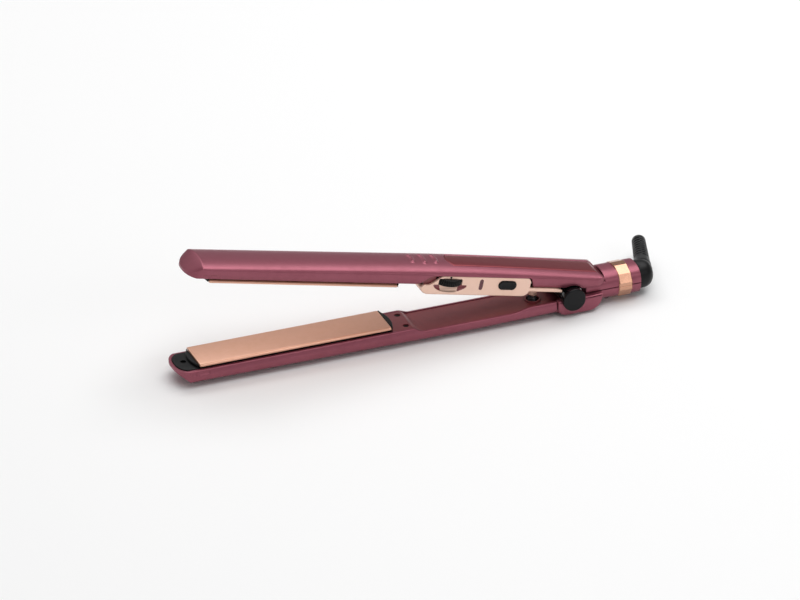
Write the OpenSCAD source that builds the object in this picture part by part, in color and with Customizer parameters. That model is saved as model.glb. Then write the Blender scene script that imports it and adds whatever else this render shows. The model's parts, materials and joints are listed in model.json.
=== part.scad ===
// Hair straightener with two hinged arms, floating heated plates and a swivelling cable exit.
// Both arms are drawn closed, with the hinge axis at x = 0, and the upper arm is then swung open.
// +X runs from the tip to the cable, -Y is the side with the controls, and the floor is z = 0.

/* [Arms] */
// Distance from the hinge axis to the blunt tip
arm_len = 249; // [244:1:254]
// Half of the widest arm section
arm_half = 13.8; // [13.7:0.1:14.2]
// Height of the split edge of the lower arm above the floor
rim_z = 11; // [11:0.1:11.3]
// Wall thickness of the moulded shells
wall = 1.6; // [1.5:0.1:1.7]
// Opening angle held by the spring
open_angle = 12.8; // [12.5:0.1:13]

/* [Plates] */
// Width of a heated plate
plate_w = 24; // [23.6:0.1:24.2]
// Length of a heated plate
plate_len = 120; // [116:1:120]
// How far a plate can be pushed into its arm
plate_travel = 0.8; // [0.6:0.1:0.8]
// Gap left between the two plates when the arms are shut and nothing presses them
plate_gap = 0.3; // [0.2:0.1:0.4]

/* [Controls] */
// Radius of the temperature thumb wheel
dial_r = 9.4; // [9.2:0.1:9.5]
// Thickness of the thumb wheel
dial_h = 4.2; // [4:0.1:4.6]
// Length of the power button
button_len = 11.7; // [11:0.1:12]
// Height of the power button
button_h = 5.7; // [5.4:0.1:5.8]
// Travel of the power button
button_travel = 0.8; // [0.5:0.1:0.8]

/* [Hinge] */
// Radius of the hinge pin
pin_r = 2; // [1.8:0.1:2.2]
// Radius of the hinge caps
cap_r = 7; // [6.5:0.1:7.5]

/* [Tail] */
// Half width of the tail
tail_half_w = 10.9; // [10.7:0.1:10.9]
// Half height of the tail
tail_half_h = 9; // [8.8:0.1:9]
// Sideways lean of the cable exit towards the rear
relief_lean = 19.5; // [15:0.5:25]
// Length of the strain relief
relief_len = 31.5; // [28:0.5:34]
// Radius of the cable bore
cable_r = 3.2; // [3:0.1:3.3]

/* [Hidden] */
$fn = 64;

fit = 0.05;
gap = 0.15;
big = 60;
section_n = 2.5;
side_mid = 5.6;
side_low = 5.75;
side_up = 9.8;

plate_z = rim_z + 3.4;
hinge_z = plate_z - 2.5;
plate_from = -235;
plate_to = plate_from + plate_len;
plate_t = 2.2;
rib_in = 6.2;
rib_out = 7.4;
rib_low = 8.2;
hook_half = 8.8;
hook_z = 9.2;
carrier_half = 10.4;
carrier_low = 3;
carrier_top = 11.05;
carrier_wall = 1.3;

tip_depth = 12;
facet_from = -arm_len + 11.5;
facet_band = 1.5;
flat_to = -60;
arm_end = -10;
end_rise = 1.4;
hinge_x = -(facet_from + flat_to) / 2;

recess_from = -101.7;
recess_z = 8.5;
ramp_from = -37.6;
ramp_to = -26.3;
ramp_z = 10.4;
floor_z = 7.4;
floor_t = 1.8;

hood_to = 19.8;
panel_from = -100.4;
panel_to = -29.8;
panel_top = 23.9;
panel_low = 11.7;
panel_t = 1.4;
panel_n = 8;
panel_mid = 22.4;
strip_low = 14.9;
strip_top = 17.6;
notch_r = 7.7;
boss_r = 7.2;
yoke_from = -9.3;
cheek_in = 11;
cheek_out = 15.5;

dial_x = -82.3;
dial_y = -7.2;
dial_z = 19.9;
light_x = -62;
light_z = 19;
button_x = -44.8;
button_z = 19;
button_face = -14.5;
button_back = -10.2;
board_z = 14.6;
board_t = 1.2;

spring_x = -20;
cup_r = 5;
cup_in = 3.9;
cup_top = 9;
cup_floor = 4;
lug_r = 3;
lug_low = 6.85;

tail_z = 11.5;
tail_n = 2.6;
tail_wall = 1.5;
tail_to = 46;
ring_from = 31.5;
ring_to = 40;
screw_x = 25;
screw_y = 5.4;

boot_from = tail_to + 0.3;
boot_x = 51.5;
boot_r = 8.7;
neck_len = 9.6;
hub_r = 3.5;
ring_r = 3.9;

// ---- Helpers: a shape's points, and solids drawn from a section, a side view or a plan ----

// Point at angle t on a superellipse with half axes a and b and power n
function super_point(t, a, b, n) = [
    a * sign(cos(t)) * pow(abs(cos(t)), 2 / n),
    b * sign(sin(t)) * pow(abs(sin(t)), 2 / n)
];

// Half width of the arm section at height h above its widest level, moved in by d
function side_y(h, d) = (arm_half - d) * pow(1 - pow(h / side_up, section_n), 1 / section_n);

// Lower arm section, moved in by d and carried straight up to the height top
function arm_section(d, top) = let (mid = rim_z - side_mid) concat(
    [for (i = [0:20]) super_point(180 + 9 * i, arm_half - d, side_low - d, section_n) + [0, side_mid]],
    [for (i = [1:4]) [side_y(mid * i / 4, d), side_mid + mid * i / 4]],
    top > rim_z ? [[side_y(mid, d), top], [-side_y(mid, d), top]] : [],
    [for (i = [4:-1:1]) [-side_y(mid * i / 4, d), side_mid + mid * i / 4]]
);

// Tail section, moved in by d, centred on its own middle
function tail_section(d) =
    [for (i = [0:47]) super_point(7.5 * i, tail_half_w - d, tail_half_h - d, tail_n)];

// Plan of an arm, moved in by d: a blunt rounded tip on a straight body that runs to the x value to
function arm_plan(d, to) = concat(
    [for (i = [0:16]) super_point(90 + 11.25 * i, tip_depth - d, arm_half - d, 2.4) - [arm_len - tip_depth, 0]],
    [[to, -arm_half + d], [to, arm_half - d]]
);

module along_x(points, from, to) {
    translate([from, 0, 0]) rotate([90, 0, 90]) linear_extrude(to - from) polygon(points);
}

module along_y(points, half) {
    rotate([90, 0, 0]) linear_extrude(2 * half, center = true) polygon(points);
}

module block(low, high) {
    translate(low) cube(high - low);
}

module y_cylinder(r, from, to) {
    translate([0, to, 0]) rotate([90, 0, 0]) cylinder(r = r, h = to - from);
}

module x_cylinder(r, from, to) {
    translate([from, 0, 0]) rotate([0, 90, 0]) cylinder(r = r, h = to - from);
}

// Upright stadium or lying stadium through a side wall, from y = a to y = b
module stadium(len, high, a, b) {
    r = min(len, high) / 2;
    dx = len / 2 - r;
    dz = high / 2 - r;
    translate([-dx, 0, -dz]) y_cylinder(r, a, b);
    translate([dx, 0, dz]) y_cylinder(r, a, b);
    block([-len / 2 + (dz > 0 ? 0 : r), a, -high / 2 + (dx > 0 ? 0 : r)],
          [len / 2 - (dz > 0 ? 0 : r), b, high / 2 - (dx > 0 ? 0 : r)]);
}

// Puts a closed-arm shape in the part's own frame
module in_frame() {
    translate([hinge_x, 0, 0]) children();
}

// Swings a closed-arm shape up to the open pose
module swung() {
    translate([hinge_x, 0, hinge_z]) rotate([0, open_angle, 0]) translate([0, 0, -hinge_z]) children();
}

// Turns a lower-arm shape over the plates' meeting plane
module flipped() {
    translate([0, 0, plate_z]) mirror([0, 0, 1]) translate([0, 0, -plate_z]) children();
}

// Round wire carried through a list of points
module wire(path, r) {
    sides = 8;
    last = len(path) - 1;
    function way(i) = path[min(i + 1, last)] - path[max(i - 1, 0)];
    function unit(v) = v / norm(v);
    points = [for (i = [0:last]) let (t = unit(way(i)), a = unit(cross(t, [0.1, 0.2, 1])), b = cross(t, a))
        for (k = [0:sides - 1]) path[i] + r * (cos(360 * k / sides) * a + sin(360 * k / sides) * b)];
    walls = [for (i = [0:last - 1], k = [0:sides - 1]) let (n = (k + 1) % sides)
        [i * sides + k, i * sides + n, (i + 1) * sides + n, (i + 1) * sides + k]];
    caps = [[for (k = [sides - 1:-1:0]) k], [for (k = [0:sides - 1]) last * sides + k]];
    polyhedron(points, concat(walls, caps), convexity = 6);
}

// Countersunk-free screw: round head over a thin shank, pointing down from z = 0
module screw(head_r, head_h, shank_r, shank_len) {
    difference() {
        translate([0, 0, -head_h]) cylinder(r = head_r, h = head_h);
        for (a = [0, 90]) rotate([0, 0, a]) block([-head_r * 0.6, -0.25, -0.4], [head_r * 0.6, 0.25, 1]);
    }
    translate([0, 0, -head_h - shank_len]) cylinder(r = shank_r, h = shank_len + 0.1);
}

// ---- Forms that both arms share, drawn for the lower arm ----

// Solid outer form of an arm, moved in by d
module arm_form(d, top, to) {
    intersection() {
        along_x(arm_section(d, top), -arm_len - 1, to);
        along_y([
            [-arm_len + d, top], [-arm_len + d, rim_z - facet_band + d * 0.4], [facet_from + d * 0.7, d],
            [flat_to, d], [arm_end, end_rise + d], [to, end_rise + d], [to, top]
        ], big);
        translate([0, 0, -1]) linear_extrude(top + 2) polygon(arm_plan(d, to));
    }
}

module plate_body() {
    round_r = plate_t / 2;
    top = plate_z - plate_gap / 2;
    translate([0, 0, top - round_r]) {
        for (s = [-1, 1]) translate([0, s * (plate_w / 2 - round_r), 0]) x_cylinder(round_r, plate_from, plate_to);
        block([plate_from, -plate_w / 2 + round_r, -round_r], [plate_to, plate_w / 2 - round_r, round_r]);
    }
    for (s = [0, 1]) mirror([0, s, 0]) {
        block([plate_from + 3, rib_in, rib_low], [plate_to - 3, rib_out, top - plate_t + 0.1]);
        block([plate_from + 3, rib_out - 0.1, rib_low], [plate_to - 3, hook_half, hook_z]);
    }
}

module heater_body() {
    top = plate_z - plate_gap / 2 - plate_t;
    block([plate_from + 10, -rib_in + 0.1, top - 1.7], [plate_to - 20, rib_in - 0.1, top]);
}

module heater_clip_body() {
    top = plate_z - plate_gap / 2 - plate_t - 1.7;
    along_x([[-6, top - 1.4], [-5.6, top - 1.4], [0, top - 0.5], [5.6, top - 1.4], [6, top - 1.4],
             [6, top - 0.9], [0, top], [-6, top - 0.9]], plate_from + 20, plate_to - 30);
}

module carrier_body() {
    difference() {
        block([plate_from - 0.5, -carrier_half, carrier_low], [plate_to - 0.2, carrier_half, carrier_top]);
        block([plate_from + carrier_wall, -9.2, carrier_low + carrier_wall], [plate_to - 2, 9.2, rim_z - 1.8]);
        block([plate_from + carrier_wall, -rib_out - 0.3, carrier_low + carrier_wall],
              [plate_to - 2, rib_out + 0.3, carrier_top + 1]);
        block([plate_to - 3, -5, carrier_low + carrier_wall], [plate_to, 5, carrier_low + 4]);
        for (s = [-1, 1]) translate([0, s * (carrier_half + 3.2), carrier_low - 2.6])
            rotate([s * 45, 0, 0]) block([plate_from - 1, -3, -3], [plate_to, 3, 3]);
    }
}

module cushion_pair() {
    for (x = [plate_from + 20, plate_to - 20]) difference() {
        block([x - 4, -rib_out, carrier_low + carrier_wall + 0.02], [x + 4, rib_out, rib_low - 0.02]);
        translate([x, 0, 0]) cylinder(r = 2.5, h = big);
    }
}

module tip_insert_body() {
    difference() {
        union() {
            intersection() {
                arm_form(wall + 0.9, rim_z + 3, 0);
                block([-arm_len, -10, rim_z - 5], [plate_from - 0.7, 10, rim_z + 0.6]);
            }
            translate([plate_from + 14.6, 0, rim_z]) intersection() {
                difference() {
                    cylinder(r = 18, h = 2.2);
                    translate([0, 0, -1]) cylinder(r = 16.2, h = 5);
                }
                block([-18.1, -9.6, 0], [-14.9, 9.6, 2.2]);
            }
        }
        translate([plate_from - 6.4, 0, rim_z - 1.6]) cylinder(r = 1.75, h = 5);
        translate([plate_from - 6.4, 0, 0]) cylinder(r = 0.85, h = big);
    }
}

module tip_screw_body() {
    translate([plate_from - 6.4, 0, rim_z - 0.6]) screw(1.6, 1, 0.8, 2.1);
}

module end_bar_body() {
    intersection() {
        translate([plate_to - 16, 0, rim_z - 4]) difference() {
            cylinder(r = 19.8, h = 6.6);
            translate([0, 0, -1]) cylinder(r = 17, h = 9);
        }
        block([plate_to + 0.25, -10.4, 0], [plate_to + 4, 10.4, big]);
    }
}

// Raised land behind a plate, with two sunk screw seats
module land_body(low) {
    difference() {
        block([plate_to + 0.3, -10.1, low], [recess_from, 10.1, rim_z]);
        translate([plate_to - 16, 0, low - 1]) cylinder(r = 19.95, h = big);
        for (s = [-1, 1]) translate([plate_to + 11, s * 6.8, 0]) {
            translate([0, 0, rim_z - 1.8]) cylinder(r = 1.9, h = 5);
            cylinder(r = 0.95, h = big);
        }
    }
}

module land_screws() {
    for (s = [-1, 1]) translate([plate_to + 11, s * 6.8, rim_z - 0.7]) screw(1.7, 1.05, 0.9, 3.6);
}

// ---- Lower arm ----

module lower_shell() {
    color("#8a4352") in_frame() difference() {
        arm_form(0, rim_z, arm_end);
        arm_form(wall, rim_z + 5, arm_end + 1);
        along_y([[recess_from, 20], [recess_from + 1.2, recess_z], [ramp_from, recess_z],
                 [ramp_to, ramp_z], [arm_end + 1, ramp_z], [arm_end + 1, 20]], big);
        translate([ramp_from, 0, -1]) cylinder(r = 2.1, h = 4);
    }
}

module lower_inner_cover() {
    half = 11.2;
    color("#5c2a36") in_frame() difference() {
        union() {
            land_body(floor_z - floor_t);
            block([recess_from - 0.1, -half, floor_z - floor_t], [arm_end, half, floor_z]);
        }
        translate([spring_x, 0, 0]) cylinder(r = cup_r + fit, h = big);
    }
}

module lower_cover_screws() {
    color("#3a3836") in_frame() land_screws();
}

module lower_tip_insert() {
    color("#1d1d1f") in_frame() tip_insert_body();
}

module lower_tip_screw() {
    color("#3a3836") in_frame() tip_screw_body();
}

module lower_plate_carrier() {
    color("#161617") in_frame() carrier_body();
}

module lower_end_bar() {
    color("#1d1d1f") in_frame() end_bar_body();
}

module lower_cushions() {
    color("#b8b2a6") in_frame() cushion_pair();
}

module lower_leads() {
    color("#e6e2da") in_frame() for (s = [-1, 1]) wire([
        [plate_to + 6, s * 2, 4.2], [plate_to + 14, s * 3, 3.8], [-70, s * 6.6, 3.6], [-40, s * 6.8, 4],
        [-20, s * 7, 4.3], [-15.5, s * 7, 4.3]
    ], 0.7);
}

module rubber_foot() {
    color("#2a2a2c") in_frame() translate([ramp_from, 0, 0]) {
        cylinder(r = 2.6, h = 0.5);
        translate([0, 0, 0.4]) cylinder(r = 2, h = 2.1);
    }
}

module lower_plate() {
    color("#d0a18b") in_frame() plate_body();
}

module lower_heater() {
    color("#e8e6df") in_frame() heater_body();
}

module lower_heater_clip() {
    color("#a8a9ab") in_frame() heater_clip_body();
}

module thermal_fuse() {
    color("#cfc8b4") in_frame() translate([0, 0, plate_z - plate_gap / 2 - plate_t - 1.2])
        x_cylinder(1.15, plate_to - 17, plate_to - 8);
}

// ---- Upper arm ----

// Outer form of the upper arm, moved in by d; it also covers the hood behind the hinge
module upper_form(d, top) {
    flipped() intersection() {
        along_x(arm_section(d, top), -arm_len - 1, hood_to - d);
        along_y([
            [-arm_len + d, top], [-arm_len + d, rim_z - facet_band + d * 0.4], [facet_from + d * 0.7, d],
            [hood_to - 5 - d, d], [hood_to - d, 3.4 + d], [hood_to - d, top]
        ], big);
        translate([0, 0, -1]) linear_extrude(top + 2) polygon(arm_plan(d, hood_to));
    }
}

module inset_outline(grow) {
    corner = -78.7;
    linear_extrude(big) polygon(concat(
        [for (i = [-6:6]) [corner - 5.5 * cos(15 * i) - grow, (7.3 + grow) * sin(15 * i)]],
        [[13 + grow, 7.3 + grow], [13 + grow, -7.3 - grow]]
    ));
}

// Edge of the control panel where it meets the shell: a wave that climbs behind the dial pocket
function wave(i) = let (s = i / 8) [panel_from + 4 + 12.4 * s, 17.4 + (panel_top - 17.4) * (0.5 - 0.5 * cos(180 * s))];

module hinge_notch() {
    for (s = [0, 1]) mirror([0, s, 0]) translate([0, 0, hinge_z]) y_cylinder(notch_r, 10.85, 20);
}

module upper_shell() {
    rib_x = [-104.5, -97, -89.5];
    rib_half = [5, 6, 5.3];
    color("#93495a") swung() {
        difference() {
            upper_form(0, rim_z);
            upper_form(wall, rim_z + 9);
            block([panel_from, -big, 0], [panel_to, big, panel_top]);
            block([panel_to - 0.1, -big, 0], [0, big, strip_top]);
            along_y([[-1, 0], [-1, 17.4], [8, 17.8], [18.6, 21], [hood_to + 1, 23.9], [hood_to + 1, 0]], big);
            translate([0, 0, 27]) inset_outline(0.1);
            hinge_notch();
        }
        for (i = [0:2]) intersection() {
            difference() {
                upper_form(-0.5, rim_z);
                upper_form(0.3, rim_z + 9);
            }
            block([rib_x[i] - 1.1, -rib_half[i], 24], [rib_x[i] + 1.1, rib_half[i], 30]);
        }
    }
}

module handle_inset() {
    color("#7d3c4b") swung() intersection() {
        upper_form(0.25, rim_z);
        translate([0, 0, 27.02]) inset_outline(0);
    }
}

module upper_end_cover() {
    color("#5c2a36") swung() flipped() land_body(floor_z - floor_t);
}

module upper_cover_screws() {
    color("#3a3836") swung() flipped() land_screws();
}

module upper_tip_insert() {
    color("#1d1d1f") swung() flipped() tip_insert_body();
}

module upper_tip_screw() {
    color("#3a3836") swung() flipped() tip_screw_body();
}

module upper_plate_carrier() {
    color("#161617") swung() flipped() carrier_body();
}

module upper_end_bar() {
    color("#1d1d1f") swung() flipped() end_bar_body();
}

module upper_cushions() {
    color("#b8b2a6") swung() flipped() cushion_pair();
}

module upper_leads() {
    color("#e6e2da") swung() for (s = [-1, 1]) wire([
        [-35.8, s * 6, 17.4], [-32, s * 9, 19], [-28, s * 10, 19.6], [-20, s * 10.1, 19.6], [-12, s * 10.1, 20]
    ], 0.7);
}

module upper_plate() {
    color("#d0a18b") swung() flipped() plate_body();
}

module upper_heater() {
    color("#e8e6df") swung() flipped() heater_body();
}

module upper_heater_clip() {
    color("#a8a9ab") swung() flipped() heater_clip_body();
}

module thermistor() {
    color("#cfc8b4") swung() flipped() translate([0, 0, plate_z - plate_gap / 2 - plate_t - 1])
        x_cylinder(0.95, plate_to - 16, plate_to - 9);
}

// ---- Controls in the upper arm ----

// Section of the panel tray, moved in by d
function panel_section(d, low) = concat(
    [for (i = [0:24]) super_point(180 + 7.5 * i, 13.7 - d, panel_mid - low - d, panel_n) + [0, panel_mid]],
    [[13.7 - d, big], [-13.7 + d, big]]
);

module panel_run(low, from, to, high) {
    difference() {
        along_x(panel_section(0, low), from, to);
        along_x(panel_section(panel_t, low), from + 1.3, to + 1);
        block([from - 1, -big, high], [to + 2, big, 2 * big]);
    }
}

module control_panel() {
    scoop_r = 39;
    color("#e8c3b0") swung() difference() {
        union() {
            panel_run(panel_low, panel_from, panel_to, panel_top - gap);
            block([panel_to - 1.4, -12.6, panel_low + 1.2], [panel_to, 12.6, strip_top - gap]);
            panel_run(strip_low, panel_to - 1.2, -6, strip_top - gap);
            translate([spring_x, 0, lug_low]) cylinder(r = lug_r, h = strip_low - lug_low + 1);
            for (x = [-92, -38], s = [-1, 1]) translate([x, s * 7, panel_low + 1])
                cylinder(r = 1.8, h = board_z - panel_low - 1);
        }
        along_y(concat([for (i = [0:8]) wave(i)], [[panel_from + 16.4, 30], [-110, 30], [-110, 17.4]]), big);
        translate([dial_x, dial_y, dial_z - dial_h / 2 - 0.35]) cylinder(r = dial_r + 0.4, h = dial_h + 0.7);
        translate([dial_x, -13.7 - scoop_r + 1.6, 13.7]) cylinder(r = scoop_r, h = 4.7);
        translate([light_x, 0, light_z]) stadium(2.5, 6.9, -20, -9);
        translate([button_x, 0, button_z]) stadium(button_len + 0.3, button_h + 0.3, -20, -9);
        block([-10, -10.85, 0], [1, 10.85, 30]);
        hinge_notch();
    }
}

module pocket_liner() {
    color("#4d232e") swung() difference() {
        intersection() {
            along_x(panel_section(2, panel_low), panel_from + 1.6, panel_from + 17);
            block([-110, -12.2, 16], [-83.5, 12.2, panel_top - 0.2]);
        }
        along_x(panel_section(3.2, panel_low), -120, -80);
        translate([dial_x, dial_y, dial_z - dial_h / 2 - 0.5]) cylinder(r = dial_r + 0.6, h = dial_h + 1);
    }
}

module circuit_board() {
    color("#2f5b3a") swung() difference() {
        block([-95, -8.6, board_z + 0.02], [-36, 8.6, board_z + board_t]);
        for (x = [-92, -38], s = [-1, 1]) translate([x, s * 7, 0]) cylinder(r = 0.8, h = big);
    }
}

module dial_potentiometer() {
    color("#3b3c40") swung() translate([dial_x, dial_y, 0]) {
        block([-5, -2.2, board_z + board_t + 0.02], [5, 6, dial_z - dial_h / 2 - 0.15]);
        translate([0, 0, board_z + board_t + 0.1]) cylinder(r = 1.5, h = dial_z - board_z - board_t + 2.2);
    }
}

module temperature_dial() {
    teeth = 44;
    color("#222224") swung() translate([dial_x, dial_y, dial_z - dial_h / 2]) difference() {
        cylinder(r = dial_r, h = dial_h);
        translate([0, 0, -1]) cylinder(r = 1.5 + fit, h = dial_h + 2);
        for (i = [0:teeth - 1]) rotate([0, 0, 360 * i / teeth]) translate([dial_r + 0.25, 0, -1])
            cylinder(r = 0.45, h = dial_h + 2, $fn = 16);
    }
}

module button_switch() {
    color("#3b3c40") swung() translate([button_x, 0, button_z]) {
        block([-3, -8.2, board_z + board_t + 0.02 - button_z], [3, -4.2, 2.6]);
        y_cylinder(1.6, button_back + button_travel + 0.05, -8.1);
    }
}

module power_button() {
    color("#141416") swung() translate([button_x, 0, button_z]) {
        stadium(button_len, button_h, button_face, button_back);
        block([-button_len / 2 - 1.2, button_back - 1, -1.9], [button_len / 2 + 1.2, button_back, 1.9]);
    }
}

module indicator_led() {
    color("#d9d9d2") swung() translate([light_x, 0, 0]) {
        block([-1.5, -8.4, board_z + board_t + 0.02], [1.5, -6.4, light_z + 1.4]);
        translate([0, 0, light_z]) y_cylinder(1.2, -10.4, -8.3);
    }
}

module light_window() {
    color("#5a2530") swung() translate([light_x, 0, light_z]) intersection() {
        stadium(2.4, 6.8, -14, -11);
        translate([0, 0, -light_z]) along_x(panel_section(0.1, panel_low), -5, 5);
    }
}

// ---- Hinge and opening spring ----

module cheek_profile() {
    polygon([[yoke_from, ramp_z], [yoke_from, 4.6], [-8.6, 2.8], [-6.9, 1.6], [-4, 1.2], [9, 1.2], [14.3, 2.7],
             [17.6, 5.6], [19.4, 9.4], [19.4, 11.4], [7, 11.7], [-7, ramp_z]]);
    translate([0, hinge_z]) circle(r = boss_r);
}

module hinge_yoke() {
    color("#7d3a49") in_frame() difference() {
        union() {
            for (s = [0, 1]) mirror([0, s, 0]) {
                translate([0, 14.3, 0]) rotate([90, 0, 0]) linear_extrude(14.3 - cheek_in) cheek_profile();
                translate([0, 0, hinge_z]) y_cylinder(boss_r, 13, cheek_out);
            }
            block([yoke_from, -cheek_in - 0.1, 2.8], [14, cheek_in + 0.1, 5]);
            block([-14.7, -8.5, 3.3], [-9, 8.5, 5]);
            block([13, -5.4, 4.95], [21.5, 5.4, 7]);
        }
        translate([0, 0, hinge_z]) y_cylinder(pin_r + fit, -big, big);
    }
}

module hinge_pin() {
    color("#b9bbbe") in_frame() translate([0, 0, hinge_z]) y_cylinder(pin_r, -cheek_out, cheek_out);
}

module cap_at(side) {
    in_frame() translate([0, side * cheek_out, hinge_z]) rotate([-90 * side, 0, 0]) rotate_extrude()
        polygon(concat([[0, 0], [cap_r, 0], [cap_r, 1.3]],
                       [for (i = [1:6]) [cap_r - 1 + cos(15 * i), 1.3 + sin(15 * i) * 0.9]], [[0, 2.2]]));
}

module hinge_cap_near() {
    color("#1b1b1d") cap_at(-1);
}

module hinge_cap_far() {
    color("#1b1b1d") cap_at(1);
}

module hinge_barrel() {
    color("#4a4b4f") swung() difference() {
        union() {
            translate([0, 0, hinge_z]) y_cylinder(6, -10.7, 10.7);
            along_y([[-27, strip_top + 0.3], [-27, 23], [3, 23], [5.9, hinge_z], [-5.9, hinge_z], [-7.5, 16.2],
                     [-10.5, strip_top + 0.3]], 8.8);
        }
        translate([0, 0, hinge_z]) y_cylinder(pin_r + fit, -big, big);
    }
}

module spring_cup() {
    color("#7a3644") in_frame() translate([spring_x, 0, 0]) difference() {
        translate([0, 0, 2.9]) cylinder(r = cup_r, h = cup_top - 2.9);
        translate([0, 0, cup_floor]) cylinder(r = cup_in, h = big);
    }
}

module opening_spring() {
    turns = 6;
    steps = 60;
    low = cup_floor + 0.45;
    high = 10.3;
    color("#6f7074") in_frame() wire([for (i = [0:steps]) let (a = 360 * turns * i / steps) [
        spring_x - 0.4 * i / steps + 2.35 * cos(a), 2.35 * sin(a), low + (high - low) * i / steps
    ]], 0.38);
}

// ---- Tail, swivel and cable exit ----

module tail_tube(d, from, to) {
    translate([0, 0, tail_z]) along_x(tail_section(d), from, to);
}

module tail_lower_shell() {
    color("#7f3b4a") in_frame() difference() {
        union() {
            difference() {
                tail_tube(0, 19.7, tail_to);
                tail_tube(tail_wall, 19, tail_to + 1);
                block([0, -big, tail_z - 0.04], [big, big, 2 * big]);
            }
            for (s = [-1, 1]) translate([screw_x, s * screw_y, 4]) cylinder(r = 3.1, h = 5.4);
        }
        for (s = [-1, 1]) translate([screw_x, s * screw_y, 0]) {
            cylinder(r = 2.4, h = 4.9);
            cylinder(r = 1.3, h = big);
        }
    }
}

// The part under the hood is lower, so the hood can come down over it as the arms open
module tail_upper_shell() {
    neck_z = 16.2;
    shoulder = 22.9;
    color("#874152") in_frame() {
        difference() {
            tail_tube(0, 10, tail_to);
            tail_tube(tail_wall, 9, tail_to + 1);
            block([0, -big, -1], [big, big, tail_z + 0.04]);
            block([9, -big, neck_z - 0.1], [shoulder, big, big]);
        }
        intersection() {
            tail_tube(0, 10, shoulder + 1.4);
            union() {
                block([10, -big, neck_z - 1.3], [shoulder, big, neck_z]);
                block([shoulder - 0.1, -big, neck_z - 1.3], [shoulder + 1.4, big, big]);
            }
        }
        for (s = [-1, 1]) translate([screw_x, s * screw_y, 9.6]) difference() {
            cylinder(r = 2.3, h = 9);
            translate([0, 0, -1]) cylinder(r = 1.15, h = 8);
        }
    }
}

module tail_screws() {
    color("#3a3836") in_frame() for (s = [-1, 1]) translate([screw_x, s * screw_y, 3.4])
        mirror([0, 0, 1]) screw(2.1, 1.4, 1.1, 8.6);
}

module trim_ring() {
    color("#e3b79f") in_frame() difference() {
        union() {
            tail_tube(-0.45, ring_from, ring_to);
            tail_tube(-0.9, ring_from + 1, ring_to - 1);
        }
        tail_tube(-fit, ring_from - 1, ring_to + 1);
    }
}

module swivel_bush() {
    color("#55565a") in_frame() difference() {
        tail_tube(tail_wall + 0.1, 42.5, tail_to);
        translate([0, 0, tail_z]) x_cylinder(hub_r + fit, 40, 50);
    }
}

module brush_block() {
    color("#b87a45") in_frame() {
        block([29.5, -4.2, 4.6], [38.5, 4.2, 6.6]);
        for (x = [31.5, 35.5]) block([x, -1.2, 6.5], [x + 1.5, 1.2, tail_z - ring_r - 0.06]);
    }
}

module swivel_hub() {
    color("#2a2a2d") in_frame() translate([0, 0, tail_z]) difference() {
        union() {
            x_cylinder(2.9, 30, 40);
            x_cylinder(5.2, 39.6, 42.2);
            x_cylinder(hub_r, 42, boot_from);
        }
        x_cylinder(1.9, 29, 60);
    }
}

module slip_rings() {
    color("#c9a04a") in_frame() translate([0, 0, tail_z]) for (x = [31.5, 35.5]) difference() {
        x_cylinder(ring_r, x, x + 1.5);
        x_cylinder(2.9 + 0.01, x - 1, x + 3);
    }
}

// Draws its children along the cable exit, with +Z pointing out of the boot
module at_exit() {
    in_frame() translate([boot_x, 0, tail_z]) rotate([0, 0, -relief_lean]) rotate([-90, 0, 0]) children();
}

module swivel_boot() {
    flat_to_x = 49.5;
    dome = 58.2 - flat_to_x;
    color("#19191b") difference() {
        union() {
            in_frame() translate([0, 0, tail_z]) rotate([0, 90, 0]) rotate_extrude() polygon(concat(
                [[0, boot_from], [boot_r - 0.6, boot_from], [boot_r, boot_from + 0.6]],
                [for (i = [0:10]) let (p = super_point(9 * i, boot_r, dome, 2.3)) p + [0, flat_to_x]]
            ));
            at_exit() cylinder(r = 5.4, h = neck_len);
        }
        at_exit() cylinder(r = cable_r + 0.5, h = neck_len + 5);
        in_frame() translate([0, 0, tail_z]) x_cylinder(1.9, 40, boot_x);
    }
}

module strain_relief() {
    grooves = 8;
    pitch = 2.9;
    color("#1f1f21") at_exit() difference() {
        translate([0, 0, neck_len + 0.02]) {
            cylinder(r = 4.6, h = 4);
            cylinder(r1 = 4.5, r2 = 3.95, h = relief_len);
        }
        for (i = [0:grooves - 1]) translate([0, 0, neck_len + 5.6 + pitch * i]) difference() {
            cylinder(r = 8, h = 1.1);
            translate([0, 0, -1]) cylinder(r = 3.65, h = 4);
        }
        translate([0, 0, neck_len - 1]) cylinder(r = cable_r, h = relief_len + 2);
    }
}

lower_shell();
lower_inner_cover();
lower_cover_screws();
lower_tip_insert();
lower_tip_screw();
lower_plate_carrier();
lower_end_bar();
lower_cushions();
lower_leads();
rubber_foot();
lower_plate();
lower_heater();
lower_heater_clip();
thermal_fuse();
upper_shell();
handle_inset();
upper_end_cover();
upper_cover_screws();
upper_tip_insert();
upper_tip_screw();
upper_plate_carrier();
upper_end_bar();
upper_cushions();
upper_leads();
upper_plate();
upper_heater();
upper_heater_clip();
thermistor();
control_panel();
pocket_liner();
circuit_board();
dial_potentiometer();
temperature_dial();
button_switch();
power_button();
indicator_led();
light_window();
hinge_yoke();
hinge_pin();
hinge_cap_near();
hinge_cap_far();
hinge_barrel();
spring_cup();
opening_spring();
tail_lower_shell();
tail_upper_shell();
tail_screws();
trim_ring();
swivel_bush();
brush_block();
swivel_hub();
slip_rings();
swivel_boot();
strain_relief();
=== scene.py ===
# %% [markdown]
# # A hinged hair straightener
# The real object is two slim arms on one hinge. Each arm is a thin moulded shell that carries a long
# coated plate. The frame already holds every part in its true place, so this lesson only dresses it:
# it works out each outer surface as a formula, rounds the small parts, and paints them. Loading the
# frame comes first, because each new piece takes its place and its body from it.

# %% Load the frame
import json
import math

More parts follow.
